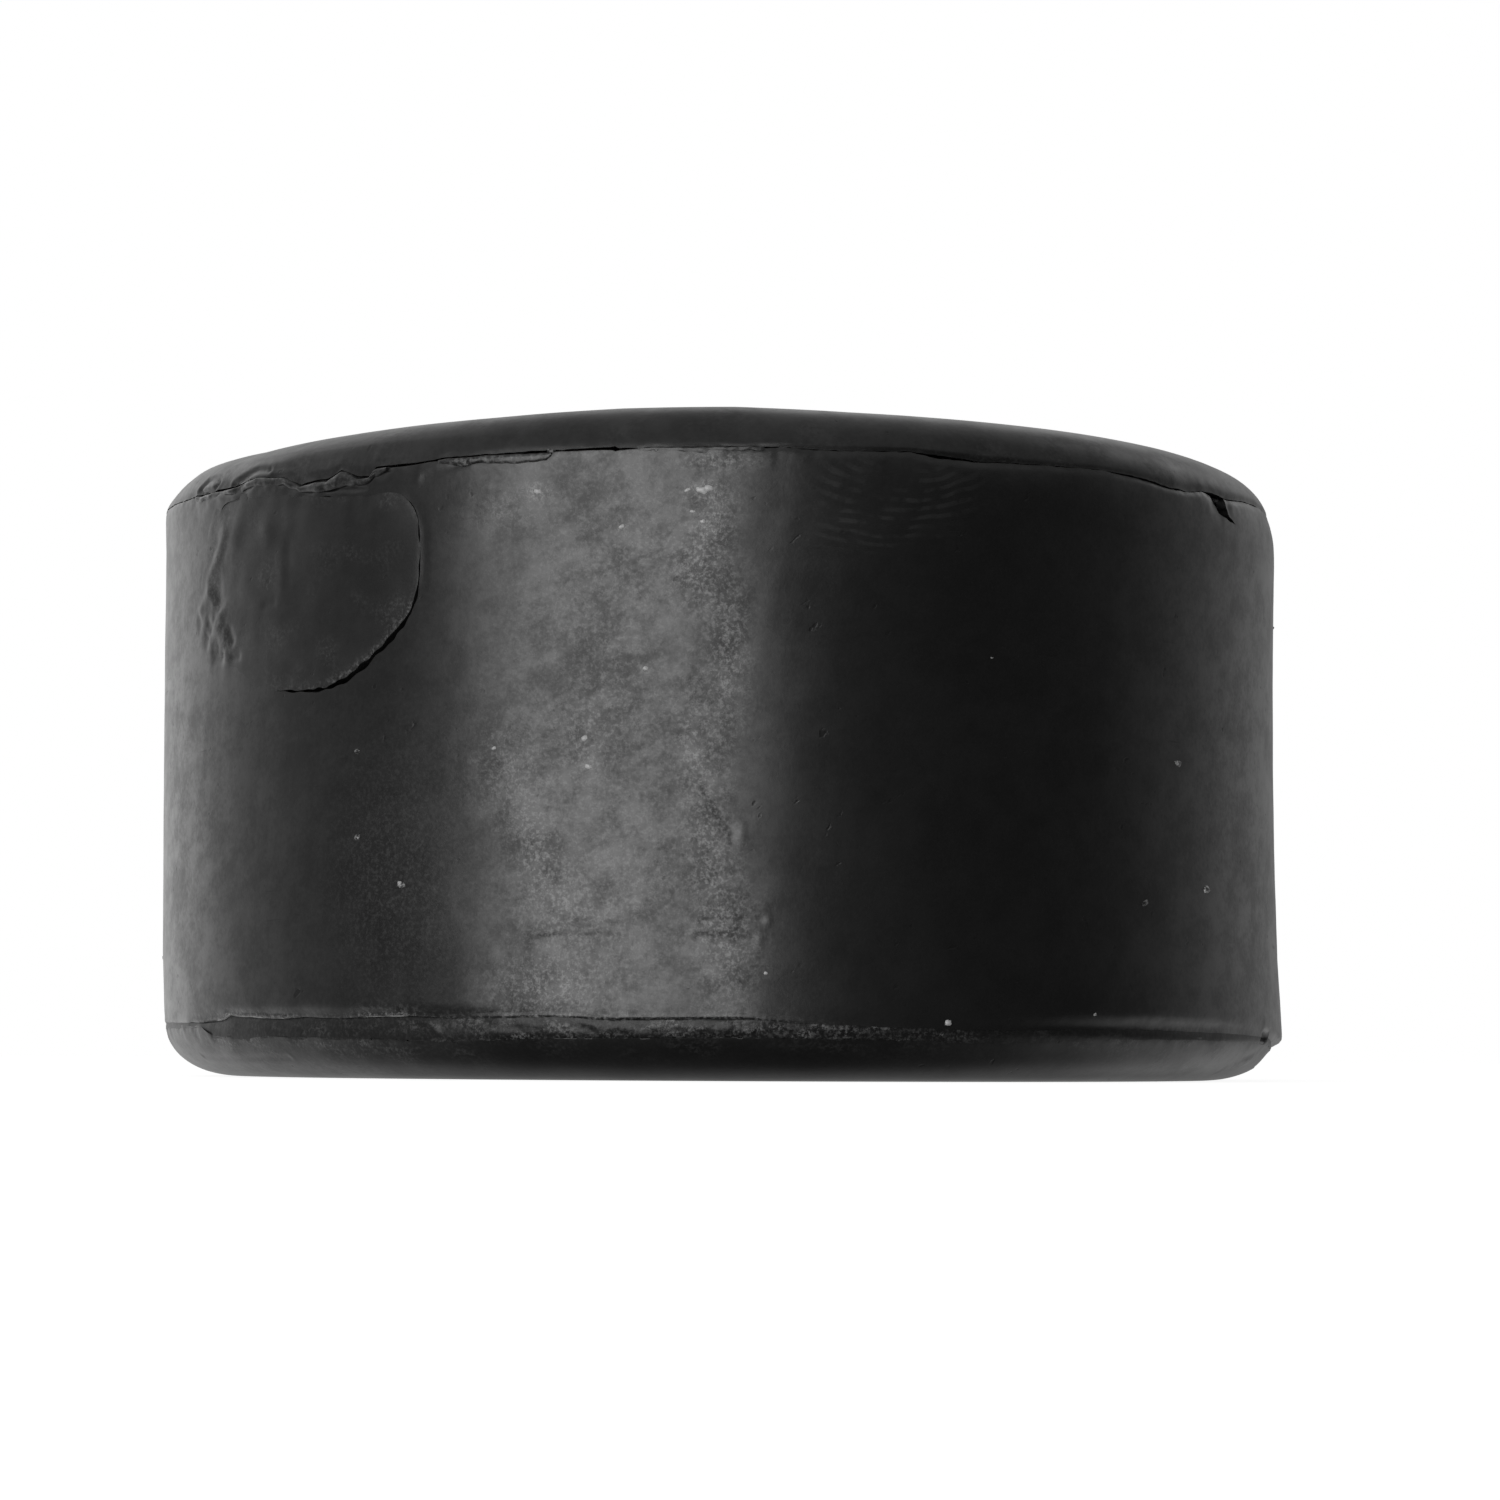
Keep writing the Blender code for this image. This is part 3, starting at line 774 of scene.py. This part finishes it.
def patch_loop(lap_share, samples):
    """The patch's torn edge, each point with its lap and lift, moved out by a share of its lap."""
    loop = even_loop(PATCH_EDGE, samples)
    blur = samples // 120
    for _ in range(3):
        loop = (np.roll(loop, blur, axis=0) + loop * 2 + np.roll(loop, -blur, axis=0)) / 4
    outwards = loop[:, :2] - flat_point(PATCH_MIDDLE)
    length = np.linalg.norm(outwards, axis=1)
    tear = lump_noise(np.column_stack((loop[:, :2], 0 * length)), 0.6, 45 + math.ceil(lap_share))
    ragged = (0.03 + 0.3 * np.maximum(-loop[:, 2], 0)) * tear
    loop[:, :2] += outwards / length[:, None] * (lap_share * loop[:, 2] + ragged)[:, None]
    return loop


def shape_patch(material):
    bpy.ops.object.select_all(action="DESELECT")
    bpy.ops.mesh.primitive_grid_add(x_subdivisions=180, y_subdivisions=104, size=2)
    piece = bpy.context.object
    piece.name = "puck_wall_patch"
    piece.data.name = piece.name
    bpy.ops.object.mode_set(mode="EDIT")
    bpy.ops.mesh.select_all(action="SELECT")
    bpy.ops.mesh.extrude_region_move(TRANSFORM_OT_translate={"value": (0, 0, -1)})
    bpy.ops.object.mode_set(mode="OBJECT")
    points = points_of(piece) * MM
    bearing = PATCH_MIDDLE[0] + points[:, 0] * PATCH_REACH[0]
    height = PATCH_MIDDLE[1] + points[:, 1] * PATCH_REACH[1]
    outer, wear = patch_face(bearing, height)
    wall = wall_reach(bearing, height)
    over_pocket = inside_loop(unrolled(bearing, height), patch_loop(0.0, 360)[:, :2])
    inner = np.where(over_pocket, WALL - PATCH_THICKNESS, np.minimum(wall, outer) - 0.04)
    put_points(piece, from_polar(bearing, np.where(points[:, 2] > -0.5, outer, inner), height))
    set_wear(piece, wear)
    close_up(piece)
    trimmer = wall_block("patch_trimmer", patch_loop(1.0, 360), PATCH_MIDDLE, 2, 2)
    combine(piece, trimmer, "INTERSECT")
    finish_piece(piece, "wall_patch", material)


def patch_face(bearing, height):
    """The patch's outer face: its reach at each place on the wall, and how worn it is there, with a painted
    highlight along its lifted lower edge.
    """
    flat = unrolled(bearing, height)
    from_edge = np.full(len(flat), 1e3)
    lift = np.zeros(len(flat))
    for x, y, _lap, edge_lift in patch_loop(1.0, 480):
        distance = np.hypot(flat[:, 0] - x, flat[:, 1] - y)
        nearer = distance < from_edge
        from_edge[nearer] = distance[nearer]
        lift[nearer] = edge_lift
    wall = wall_reach(bearing, height)
    points = from_polar(bearing, wall, height)
    crest = along(((24, 0), (33, 0.3), (35.5, 1), (38, 1)), height)
    streaks = lump_noise(points * np.array((0.7, 0.7, 0.3)), 0.6, 44) + lump_noise(points * 0.5, 0.7, 46)
    face = wall + 0.03 * smooth_step(from_edge, 0, 1.6) + lift * fading(from_edge, 0.6)
    face -= 0.02 * fading(from_edge, 0.25) + lift * 0.35 * fading(from_edge, 0.08)
    face += fold_relief(bearing, height)
    face += crest * 0.05 * lump_noise(points * np.array((0.7, 0.7, 0.55)), 0.8, 43) + 0.006 * streaks
    wear = 0.2 * torn_share(near_path(bearing, height, PATCH_TEAR))
    # Painted highlight: where the patch's edge is lifted, a narrow band along it is painted pale for the
    # light it catches.
    wear += 0.5 * bell(from_edge, 0.3) * np.clip((lift - 0.05) * 12, 0, 1) * (bearing > -50)
    wear += 0.14 * np.clip(lump_noise(points, 1.5, 48), 0, 1)
    return np.maximum(face, wall - 0.3), wear


def shape_upper_ply(material, shapes):
    foot, top = UPPER_PLY_BLANK
    shares = (0, 0.06, 0.13, 0.21, 0.3, 0.4, 0.5, 0.6, 0.7, 0.79, 0.87, 0.94, 1)
    underside = [(0, 37.55), (36, 37.55), (37.2, 37.58)]
    rim = [(WALL, foot + (top - foot) * share) for share in shares]
    profile = [*underside, *rim, (37.2, 37.92), (36, 37.95), (0, 37.95)]
    piece = turn_on_lathe("puck_upper_ply", profile, steps=1440)
    bearing, reach, height = turned_points(piece)
    on_rim = reach > 37.5
    share = np.clip((height - foot) / (top - foot), 0, 1)
    _facing_edge, rim_top, lip = upper_joint(bearing)
    shown = smooth_step(along(RIM_STRIP, bearing), 0.02, 0.12)
    rim_foot = lip - 0.12 - 0.1 * ring_noise(bearing, 8, 12, 300, 0.6)
    rim_height = rim_foot + share * (rim_top - rim_foot)
    wall = wall_reach(bearing, rim_height)
    swell = np.sin(math.pi * np.clip(share * 0.9 + 0.1, 0, 1)) ** 0.6
    bits = lumps(from_polar(bearing, wall, rim_height), (0.1, 0.8, 61), (0.04, 0.3, 62))
    rim_reach = wall - 0.03 + (along(RIM_PROUD, bearing) + along(LUMPINESS, bearing) * bits) * swell
    rim_reach -= 0.12 * np.clip((share - 0.85) / 0.15, 0, 1) ** 2
    rim_reach += fold_relief(bearing, rim_height)
    new_reach = np.where(on_rim, SEAT + shown * (rim_reach - SEAT), reach)
    new_height = np.where(on_rim, height + shown * (rim_height - height), height)
    put_points(piece, from_polar(bearing, new_reach, new_height))
    # Dust on the rim's proud bits, and a painted highlight on the proud strip of flash round bearing -20.
    dusty = 0.15 + 0.2 * np.clip(bits * 8, 0, 1) + 0.35 * bell(bearing + 20, 6)
    set_wear(piece, on_rim * shown * dusty)
    add_crumbs(piece, shapes, JOINT_CRUMBS, wall_reach, wear=0.9, sink=1.0)
    finish_piece(piece, "upper_bonding_ply", material, angle=60)


def shape_lower_ply(material, shapes):
    foot, top = LOWER_PLY_BLANK
    underside = [(0, 2.75), (34, 2.75), (36.9, 2.7)]
    rim = [(38.2, height) for height in np.linspace(foot, top, 15)]
    profile = [*underside, *rim, (36.9, 3.52), (34, 3.45), (0, 3.45)]
    piece = turn_on_lathe("puck_lower_ply", profile, steps=1440)
    bearing, reach, height = turned_points(piece)
    on_rim = reach > 37.5
    share = np.clip((height - foot) / (top - foot), 0, 1)
    is_open = along(OPEN_LINES, bearing)
    low = along(FACING_EDGE, bearing) - 0.06 + 0.04 * ring_noise(bearing, 12, 20, 400, 0.5)
    high = along(CORE_FOOT, bearing) + 0.08 - 0.08 * is_open
    new_height = np.where(on_rim, low + share * (high - low), height)
    wall = wall_reach(bearing, new_height)
    points = from_polar(bearing, wall, new_height)
    crumble = along(PLY_CRUMBLE, bearing)
    bits = 0.035 * lump_noise(points * FLAT_LUMPS * 1.6, 0.7, 71) + 0.01 * lump_noise(points, 0.24, 72)
    set_back = along(PLY_SET_BACK, bearing)
    at_facing = dented_shoulder(bearing, new_height) + BOTTOM_FACING_SWAY * np.sin(np.radians(bearing))
    at_facing += 0.03 - 0.18 * is_open * smooth_step(set_back, 0.1, 0.3)
    at_core = wall - set_back - 0.02
    body = at_facing + (at_core - at_facing) * share**0.8
    body += crumble * bits * np.sin(math.pi * share) ** 0.5
    body -= 0.18 * is_open * fading(1 - share, 0.12)
    body += fold_relief(bearing, new_height)
    put_points(piece, from_polar(bearing, np.where(on_rim, body, reach), new_height))
    dusty = np.clip(lump_noise(points * FLAT_LUMPS, 0.5, 73) + 0.1, 0, 1)
    set_wear(piece, on_rim * crumble * (0.25 + 0.6 * dusty))
    add_crumbs(piece, shapes, FOOT_CRUMBS, set_back_reach, wear=0.7, sink=0.35)
    finish_piece(piece, "lower_bonding_ply", material, angle=60)


def set_back_reach(bearing, height):
    """Reach at which crumbs sit in the lower joint."""
    return wall_reach(bearing, height) - 0.7 * along(PLY_SET_BACK, bearing)


# Materials


def add(tree, kind, inputs=None, **settings):
    """A node with its settings and inputs, where an input is a value or another node's output socket."""
    made = tree.nodes.new(kind)
    for key, value in settings.items():
        setattr(made, key, value)
    for key, value in (inputs or {}).items():
        if isinstance(value, bpy.types.NodeSocket):
            tree.links.new(value, made.inputs[key])
        else:
            made.inputs[key].default_value = value
    return made


def math_node(tree, operation, first, second=0.0, clamp=False):
    settings = {"operation": operation, "use_clamp": clamp}
    return add(tree, "ShaderNodeMath", {0: first, 1: second}, **settings).outputs[0]


def times(tree, first, *others):
    """The product of two or more values."""
    for other in others:
        first = math_node(tree, "MULTIPLY", first, other)
    return first


def plus(tree, first, *others):
    """The sum of two or more values."""
    for other in others:
        first = math_node(tree, "ADD", first, other)
    return first


def spread_node(tree, value, low, high, new_low=0.0, new_high=1.0):
    """Maps a value from one range to another, smoothly and with no overshoot."""
    ranges = {"Value": value, "From Min": low, "From Max": high, "To Min": new_low, "To Max": new_high}
    return add(tree, "ShaderNodeMapRange", ranges, interpolation_type="SMOOTHSTEP").outputs["Result"]


def noise_node(tree, vector, scale, detail, roughness):
    inputs = {"Vector": vector, "Scale": scale, "Detail": detail, "Roughness": roughness}
    return add(tree, "ShaderNodeTexNoise", inputs).outputs["Fac"]


def mix_node(tree, share, first, second):
    """A blend of two colours or values."""
    return add(tree, "ShaderNodeMix", {0: share, 6: first, 7: second}, data_type="RGBA").outputs[2]


def grey(tone):
    return (tone, tone, tone, 1)


def object_place(tree, stretch=(1, 1, 1), tilt=0.0):
    """Object coordinates that tilt what is drawn on them in the wall and stretch it along the tilt."""
    place = add(tree, "ShaderNodeTexCoord").outputs["Object"]
    inputs = {"Vector": place, "Rotation": (0, math.radians(-tilt), 0), "Scale": stretch}
    return add(tree, "ShaderNodeMapping", inputs, vector_type="TEXTURE").outputs["Vector"]


def split_place(tree, coordinates):
    """X, Y and Z of one kind of texture coordinates, and the bearing round the puck's axis in radians."""
    place = add(tree, "ShaderNodeTexCoord").outputs[coordinates]
    split = add(tree, "ShaderNodeSeparateXYZ", {0: place}).outputs
    return split, math_node(tree, "ARCTAN2", split["X"], times(tree, split["Y"], -1.0))


def start_group(name, inputs, outputs):
    """A shader node group with these float inputs and outputs."""
    tree = bpy.data.node_groups.new(name, "ShaderNodeTree")
    for key in inputs:
        tree.interface.new_socket(key, in_out="INPUT", socket_type="NodeSocketFloat")
    for key in outputs:
        tree.interface.new_socket(key, in_out="OUTPUT", socket_type="NodeSocketFloat")
    return tree, tree.nodes.new("NodeGroupInput").outputs, tree.nodes.new("NodeGroupOutput").inputs


def make_skin_group():
    """Rubber skin as a height in millimetres: swells, moulded grain, raspy scuffs, pits and scratches."""
    inputs = ("Wear", "Swell", "Grain", "Rasp", "Pits", "Scratches")
    tree, given, result = start_group("rubber_skin", inputs, ("Height", "Scratch Mask", "Pit Mask"))
    place = object_place(tree)
    swell = times(tree, noise_node(tree, object_place(tree, (1.2, 2.4, 0.8)), 420, 4, 0.55), given["Swell"])
    grain = times(tree, noise_node(tree, place, 3600, 3, 0.6), given["Grain"])
    rasp = times(tree, noise_node(tree, place, 3600, 4, 0.68), given["Rasp"], given["Wear"])
    scattered = spread_node(tree, noise_node(tree, place, 260, 2, 0.5), 0.46, 0.62)
    pores = noise_node(tree, object_place(tree, (1.5, 1.5, 0.9), 40), 1500, 2, 0.55)
    pit_mask = times(tree, spread_node(tree, pores, 0.66, 0.76), scattered)
    dragged = noise_node(tree, object_place(tree, (9, 9, 0.5)), 1500, 2, 0.5)
    where = spread_node(tree, noise_node(tree, place, 120, 2, 0.5), 0.54, 0.66)
    scratch_mask = times(tree, spread_node(tree, dragged, 0.66, 0.8), where)
    pits = times(tree, pit_mask, given["Pits"])
    scratches = times(tree, scratch_mask, given["Scratches"])
    height = math_node(tree, "SUBTRACT", plus(tree, swell, grain, rasp), plus(tree, pits, scratches))
    tree.links.new(height, result["Height"])
    tree.links.new(scratch_mask, result["Scratch Mask"])
    tree.links.new(pit_mask, result["Pit Mask"])
    return tree


def make_bloom_group():
    """Bloom and polish: cloudy grey film, pale flecks of dust on worn rubber that also draw the painted
    highlights kept with the wear, mottled waxy shine and grit.
    """
    inputs = ("Wear", "Clean", "Film", "Flecks", "Wax")
    tree, given, result = start_group("rubber_bloom", inputs, ("Film", "Flecks", "Wax", "Grit"))
    place = object_place(tree)
    dirt = math_node(tree, "SUBTRACT", 1.0, given["Clean"])
    cloud = spread_node(tree, noise_node(tree, place, 150, 6, 0.64), 0.38, 0.64)
    film = times(tree, cloud, given["Film"], plus(tree, times(tree, dirt, 0.65), 0.35))
    broken = spread_node(tree, noise_node(tree, place, 4000, 5, 0.78), 0.46, 0.63)
    flecks = math_node(tree, "MULTIPLY", times(tree, broken, given["Wear"]), given["Flecks"], clamp=True)
    rubbed = times(tree, noise_node(tree, object_place(tree, (1.4, 1.4, 1), 25), 700, 6, 0.68), 0.42)
    patchy = times(tree, noise_node(tree, object_place(tree, (1, 2, 1)), 240, 4, 0.6), 0.35)
    fine = times(tree, noise_node(tree, place, 3000, 4, 0.65), 0.23)
    mottle = spread_node(tree, plus(tree, rubbed, patchy, fine), 0.39, 0.61)
    contrast = math_node(tree, "ADD", times(tree, given["Wear"], 1.6), 0.45, clamp=True)
    uneven = times(tree, math_node(tree, "SUBTRACT", mottle, 0.55), contrast)
    wax = times(tree, plus(tree, uneven, 0.55), given["Wax"])
    speckle = spread_node(tree, noise_node(tree, place, 1600, 4, 0.7), 0.3, 0.7, -0.15, 0.15)
    grit = spread_node(tree, plus(tree, given["Wear"], speckle), 1.2, 1.35)
    tree.links.new(film, result["Film"])
    tree.links.new(flecks, result["Flecks"])
    tree.links.new(wax, result["Wax"])
    tree.links.new(grit, result["Grit"])
    return tree


def finger_ridges(tree):
    """A greasy finger mark under the upper joint: looped ridges, as a mask from 0 to 1."""
    mark_bearing, loop_height, ridge_pitch = 17.5, 39.6, 0.57
    even = object_place(tree)
    place, bearing = split_place(tree, "Object")
    aside = times(tree, math_node(tree, "SUBTRACT", bearing, math.radians(mark_bearing)), WALL)
    up = math_node(tree, "SUBTRACT", times(tree, place["Z"], 1 / MM), loop_height)
    flat = add(tree, "ShaderNodeCombineXYZ", {"X": times(tree, aside, 0.62), "Y": up}).outputs["Vector"]
    reach = add(tree, "ShaderNodeVectorMath", {0: flat}, operation="LENGTH").outputs["Value"]
    bent = plus(tree, reach, times(tree, noise_node(tree, even, 180, 2, 0.5), 1.6))
    wave = math_node(tree, "SINE", times(tree, bent, 2 * math.pi / ridge_pitch))
    ridge = spread_node(tree, wave, -0.4, 0.8)
    sideways = spread_node(tree, math_node(tree, "ABSOLUTE", aside), 6.6, 3.0)
    low = spread_node(tree, up, -8.0, -6.4)
    high = spread_node(tree, up, -1.6, -2.4)
    patchy = spread_node(tree, noise_node(tree, even, 330, 3, 0.5), 0.36, 0.58)
    broken = spread_node(tree, noise_node(tree, even, 1000, 2, 0.5), 0.36, 0.6)
    return times(tree, ridge, sideways, low, high, patchy, broken)


def rubber(name, groups, tones, roughness, skin, bloom, ridges=False, shine=0.5):
    """Black rubber under a grey film, pale dust and a mottled wax, with relief from its skin."""
    material = bpy.data.materials.new(name)
    material.use_nodes = True
    tree = material.node_tree
    shader = tree.nodes["Principled BSDF"].inputs
    shader["Metallic"].default_value = 0.0
    shader["Coat Roughness"].default_value = 0.28
    shader["Specular IOR Level"].default_value = shine
    wear = add(tree, "ShaderNodeAttribute", attribute_name="wear").outputs["Fac"]
    clean = add(tree, "ShaderNodeAttribute", attribute_name="clean").outputs["Fac"]
    relief = add(tree, "ShaderNodeGroup", {"Wear": wear, **skin}, node_tree=groups["skin"]).outputs
    bloom = {"Wear": wear, "Clean": clean, **bloom}
    haze = add(tree, "ShaderNodeGroup", bloom, node_tree=groups["bloom"]).outputs
    black, film, dust = map(grey, tones)
    colour = mix_node(tree, haze["Film"], black, film)
    colour = mix_node(tree, haze["Flecks"], colour, dust)
    colour = mix_node(tree, haze["Grit"], colour, grey(GRIT_TONE))
    tree.links.new(colour, shader["Base Color"])
    harmed = math_node(tree, "MAXIMUM", relief["Pit Mask"], relief["Scratch Mask"])
    whole = math_node(tree, "SUBTRACT", 1.0, harmed)
    tree.links.new(times(tree, haze["Wax"], whole), shader["Coat Weight"])
    gloss = math_node(tree, "SUBTRACT", times(tree, haze["Flecks"], 0.2), times(tree, clean, 0.06))
    gloss = plus(tree, gloss, roughness)
    height = relief["Height"]
    if ridges:
        mark = finger_ridges(tree)
        gloss = plus(tree, gloss, times(tree, mark, 0.24))
        height = plus(tree, height, times(tree, mark, 0.006))
    tree.links.new(gloss, shader["Roughness"])
    bump = add(tree, "ShaderNodeBump", {"Strength": 1.0, "Distance": MM, "Height": height})
    tree.links.new(bump.outputs["Normal"], shader["Normal"])
    return material


def make_materials():
    groups = {"skin": make_skin_group(), "bloom": make_bloom_group()}
    wall_skin = {"Swell": 0.02, "Grain": 0.008, "Rasp": 0.02, "Pits": 0.014, "Scratches": 0.012}
    plain_skin = {"Swell": 0.02, "Grain": 0.004, "Rasp": 0.02, "Pits": 0.015, "Scratches": 0.006}
    torn_skin = {"Swell": 0.04, "Grain": 0.014, "Rasp": 0.03, "Pits": 0.02, "Scratches": 0.0}
    patch_skin = {"Swell": 0.04, "Grain": 0.005, "Rasp": 0.02, "Pits": 0.015, "Scratches": 0.0}
    wall = rubber(
        "wall_rubber", groups, tones=(0.0055, 0.0125, 0.2), roughness=0.34, shine=0.4, ridges=True,
        skin=wall_skin, bloom={"Film": 0.7, "Flecks": 1.0, "Wax": 1.0},
    )
    facing = rubber(
        "facing_rubber", groups, tones=(0.005, 0.012, 0.06), roughness=0.36, shine=0.38,
        skin=plain_skin, bloom={"Film": 0.8, "Flecks": 0.7, "Wax": 0.75},
    )
    underside = rubber(
        "underside_rubber", groups, tones=(0.004, 0.01, 0.2), roughness=0.34,
        skin=plain_skin, bloom={"Film": 0.7, "Flecks": 0.7, "Wax": 0.4},
    )
    torn = rubber(
        "torn_rubber", groups, tones=(0.004, 0.012, 0.2), roughness=0.42, shine=0.35,
        skin=torn_skin, bloom={"Film": 0.6, "Flecks": 0.9, "Wax": 0.35},
    )
    rim = rubber(
        "rim_rubber", groups, tones=(0.005, 0.0125, 0.2), roughness=0.36, shine=0.4,
        skin=torn_skin, bloom={"Film": 0.6, "Flecks": 0.9, "Wax": 0.8},
    )
    patch = rubber(
        "patch_rubber", groups, tones=(0.005, 0.02, 0.2), roughness=0.36,
        skin=patch_skin, bloom={"Film": 0.8, "Flecks": 1.0, "Wax": 0.5},
    )
    return {"wall": wall, "facing": facing, "underside": underside, "torn": torn, "rim": rim, "patch": patch}


# Stage


def make_camera():
    """The photograph's view: low, close to the floor, tilted a little up."""
    data = bpy.data.cameras.new("photo_camera")
    data.sensor_width = 36.0
    data.lens = data.sensor_width * FOCAL_PIXELS / PHOTO_PIXELS
    data.clip_start = 0.004
    camera = bpy.data.objects.new("photo_camera", data)
    bpy.context.scene.collection.objects.link(camera)
    tilt = Euler((math.pi / 2 + CAMERA_TILT, 0, 0)).to_matrix().to_4x4()
    roll = Matrix.Rotation(CAMERA_ROLL, 4, "Z")
    camera.matrix_world = Matrix.Translation([value * MM for value in CAMERA_PLACE]) @ tilt @ roll
    bpy.context.scene.camera = camera


def make_softbox(name, bearing, elevation, distance, width, height, radiance):
    """A soft rectangular lamp that faces the puck. Bearing is from the front, as on the puck."""
    data = bpy.data.lights.new(name, "AREA")
    data.shape = "RECTANGLE"
    data.size = width
    data.size_y = height
    data.energy = radiance * math.pi * width * height
    lamp = bpy.data.objects.new(name, data)
    bpy.context.scene.collection.objects.link(lamp)
    turn, rise = math.radians(bearing), math.radians(elevation)
    out = Vector((math.sin(turn) * math.cos(rise), -math.cos(turn) * math.cos(rise), math.sin(rise)))
    aim = Vector((0, 0, 20 * MM))
    lamp.location = aim + out * distance
    lamp.rotation_euler = (-out).to_track_quat("-Z", "Y").to_euler()
    lamp.visible_camera = False


def room_sides(tree, bearing):
    """Brightness of the room's sides, by bearing."""
    share = plus(tree, math_node(tree, "DIVIDE", bearing, 2 * math.pi), 0.5)
    sides = add(tree, "ShaderNodeValToRGB", {"Fac": share})
    ramp = sides.color_ramp.elements
    while len(ramp) < len(ROOM_WALLS):
        ramp.new(0.5)
    for element, (degrees, level) in zip(ramp, ROOM_WALLS):
        element.position = degrees / 360 + 0.5
        element.color = grey(level)
    return sides.outputs["Color"]


def overhead_light(tree, way):
    """Brightness of the room above the puck: brighter at the back and on the left."""
    level = spread_node(tree, way["Y"], -0.5, 0.5, 0.4, 0.3)
    level = times(tree, level, spread_node(tree, way["X"], 0.15, 0.4, 1.0, 0.65))
    level = plus(tree, level, spread_node(tree, way["Y"], 0.7, 0.95, 0.0, 0.4))
    behind = spread_node(tree, way["Y"], 0.3, 0.7)
    for start, end, strength in ((-0.25, -0.55, 0.75), (0.3, 0.6, 0.6)):
        beside = spread_node(tree, way["X"], start, end, 0.0, strength)
        level = plus(tree, level, times(tree, beside, behind))
    far_left = spread_node(tree, way["X"], -0.5, -0.9, 0.0, 0.25)
    return plus(tree, level, times(tree, far_left, spread_node(tree, way["Y"], -0.3, 0.1)))


def floor_light(tree, way):
    """Brightness of the floor: dim close under the puck, in front of it and straight behind it."""
    lit = times(tree, spread_node(tree, way["Z"], -0.95, -0.45), spread_node(tree, way["Y"], -0.5, 0.2))
    level = spread_node(tree, way["X"], 0.2, -0.6, 0.32, 0.62)
    level = plus(tree, level, spread_node(tree, way["X"], 0.15, 0.5, 0.0, 0.25))
    in_line = spread_node(tree, times(tree, way["X"], way["X"]), 0.1, 0.01)
    shaded = times(tree, spread_node(tree, way["Y"], 0.5, 0.92), in_line, 0.6)
    return plus(tree, times(tree, lit, level, math_node(tree, "SUBTRACT", 1.0, shaded)), 0.06)


def mix_shaders(tree, share, first, second, output):
    """Ends a tree with a blend of two shaders."""
    either = add(tree, "ShaderNodeMixShader", {0: share, 1: first.outputs[0], 2: second.outputs[0]})
    add(tree, output, {"Surface": either.outputs[0]})


def make_world():
    """A plain room: white to the camera, and to the puck pale sides behind it and dim ones in front."""
    world = bpy.data.worlds.new("studio")
    bpy.context.scene.world = world
    world.use_nodes = True
    tree = world.node_tree
    tree.nodes.clear()
    way, bearing = split_place(tree, "Generated")
    is_above = spread_node(tree, way["Z"], 0.15, 0.55)
    is_below = spread_node(tree, way["Z"], -0.1, -0.45)
    room = mix_node(tree, is_above, room_sides(tree, bearing), overhead_light(tree, way))
    room = mix_node(tree, is_below, room, floor_light(tree, way))
    seen = add(tree, "ShaderNodeLightPath").outputs["Is Camera Ray"]
    dim = add(tree, "ShaderNodeBackground", {"Color": room, "Strength": 1.0})
    white = add(tree, "ShaderNodeBackground", {"Color": grey(1), "Strength": 1.0})
    mix_shaders(tree, seen, dim, white, "ShaderNodeOutputWorld")


def make_floor():
    """A pale floor, white to the camera but for the puck's own soft shadow."""
    bpy.ops.object.select_all(action="DESELECT")
    bpy.ops.mesh.primitive_circle_add(vertices=96, radius=0.6, fill_type="NGON", location=(0, 0, -0.00003))
    floor = bpy.context.object
    floor.name = "studio_floor"
    material = bpy.data.materials.new("pale_floor")
    material.use_nodes = True
    tree = material.node_tree
    tree.nodes.clear()
    matt = add(tree, "ShaderNodeBsdfDiffuse", {"Color": grey(0.7)})
    glow = add(tree, "ShaderNodeEmission", {"Color": grey(1), "Strength": 1.53})
    seen = times(tree, add(tree, "ShaderNodeLightPath").outputs["Is Camera Ray"], 0.6)
    mix_shaders(tree, seen, matt, glow, "ShaderNodeOutputMaterial")
    floor.data.materials.append(material)
    floor.visible_glossy = False
    floor.visible_shadow = False


def main():
    bpy.context.scene.view_settings.view_transform = "Standard"
    materials = make_materials()
    shapes = crumb_shapes()
    shape_core(materials["wall"], shapes)
    shape_top_facing(materials["facing"])
    shape_bottom_facing(materials["underside"])
    shape_upper_ply(materials["rim"], shapes)
    shape_lower_ply(materials["torn"], shapes)
    shape_patch(materials["patch"])
    for crumb in shapes:
        bpy.data.objects.remove(crumb, do_unlink=True)
    make_floor()
    make_world()
    make_softbox(
        "window_light", bearing=-20.5, elevation=8, distance=0.7, width=0.7, height=0.56, radiance=2.6
    )
    make_camera()


main()
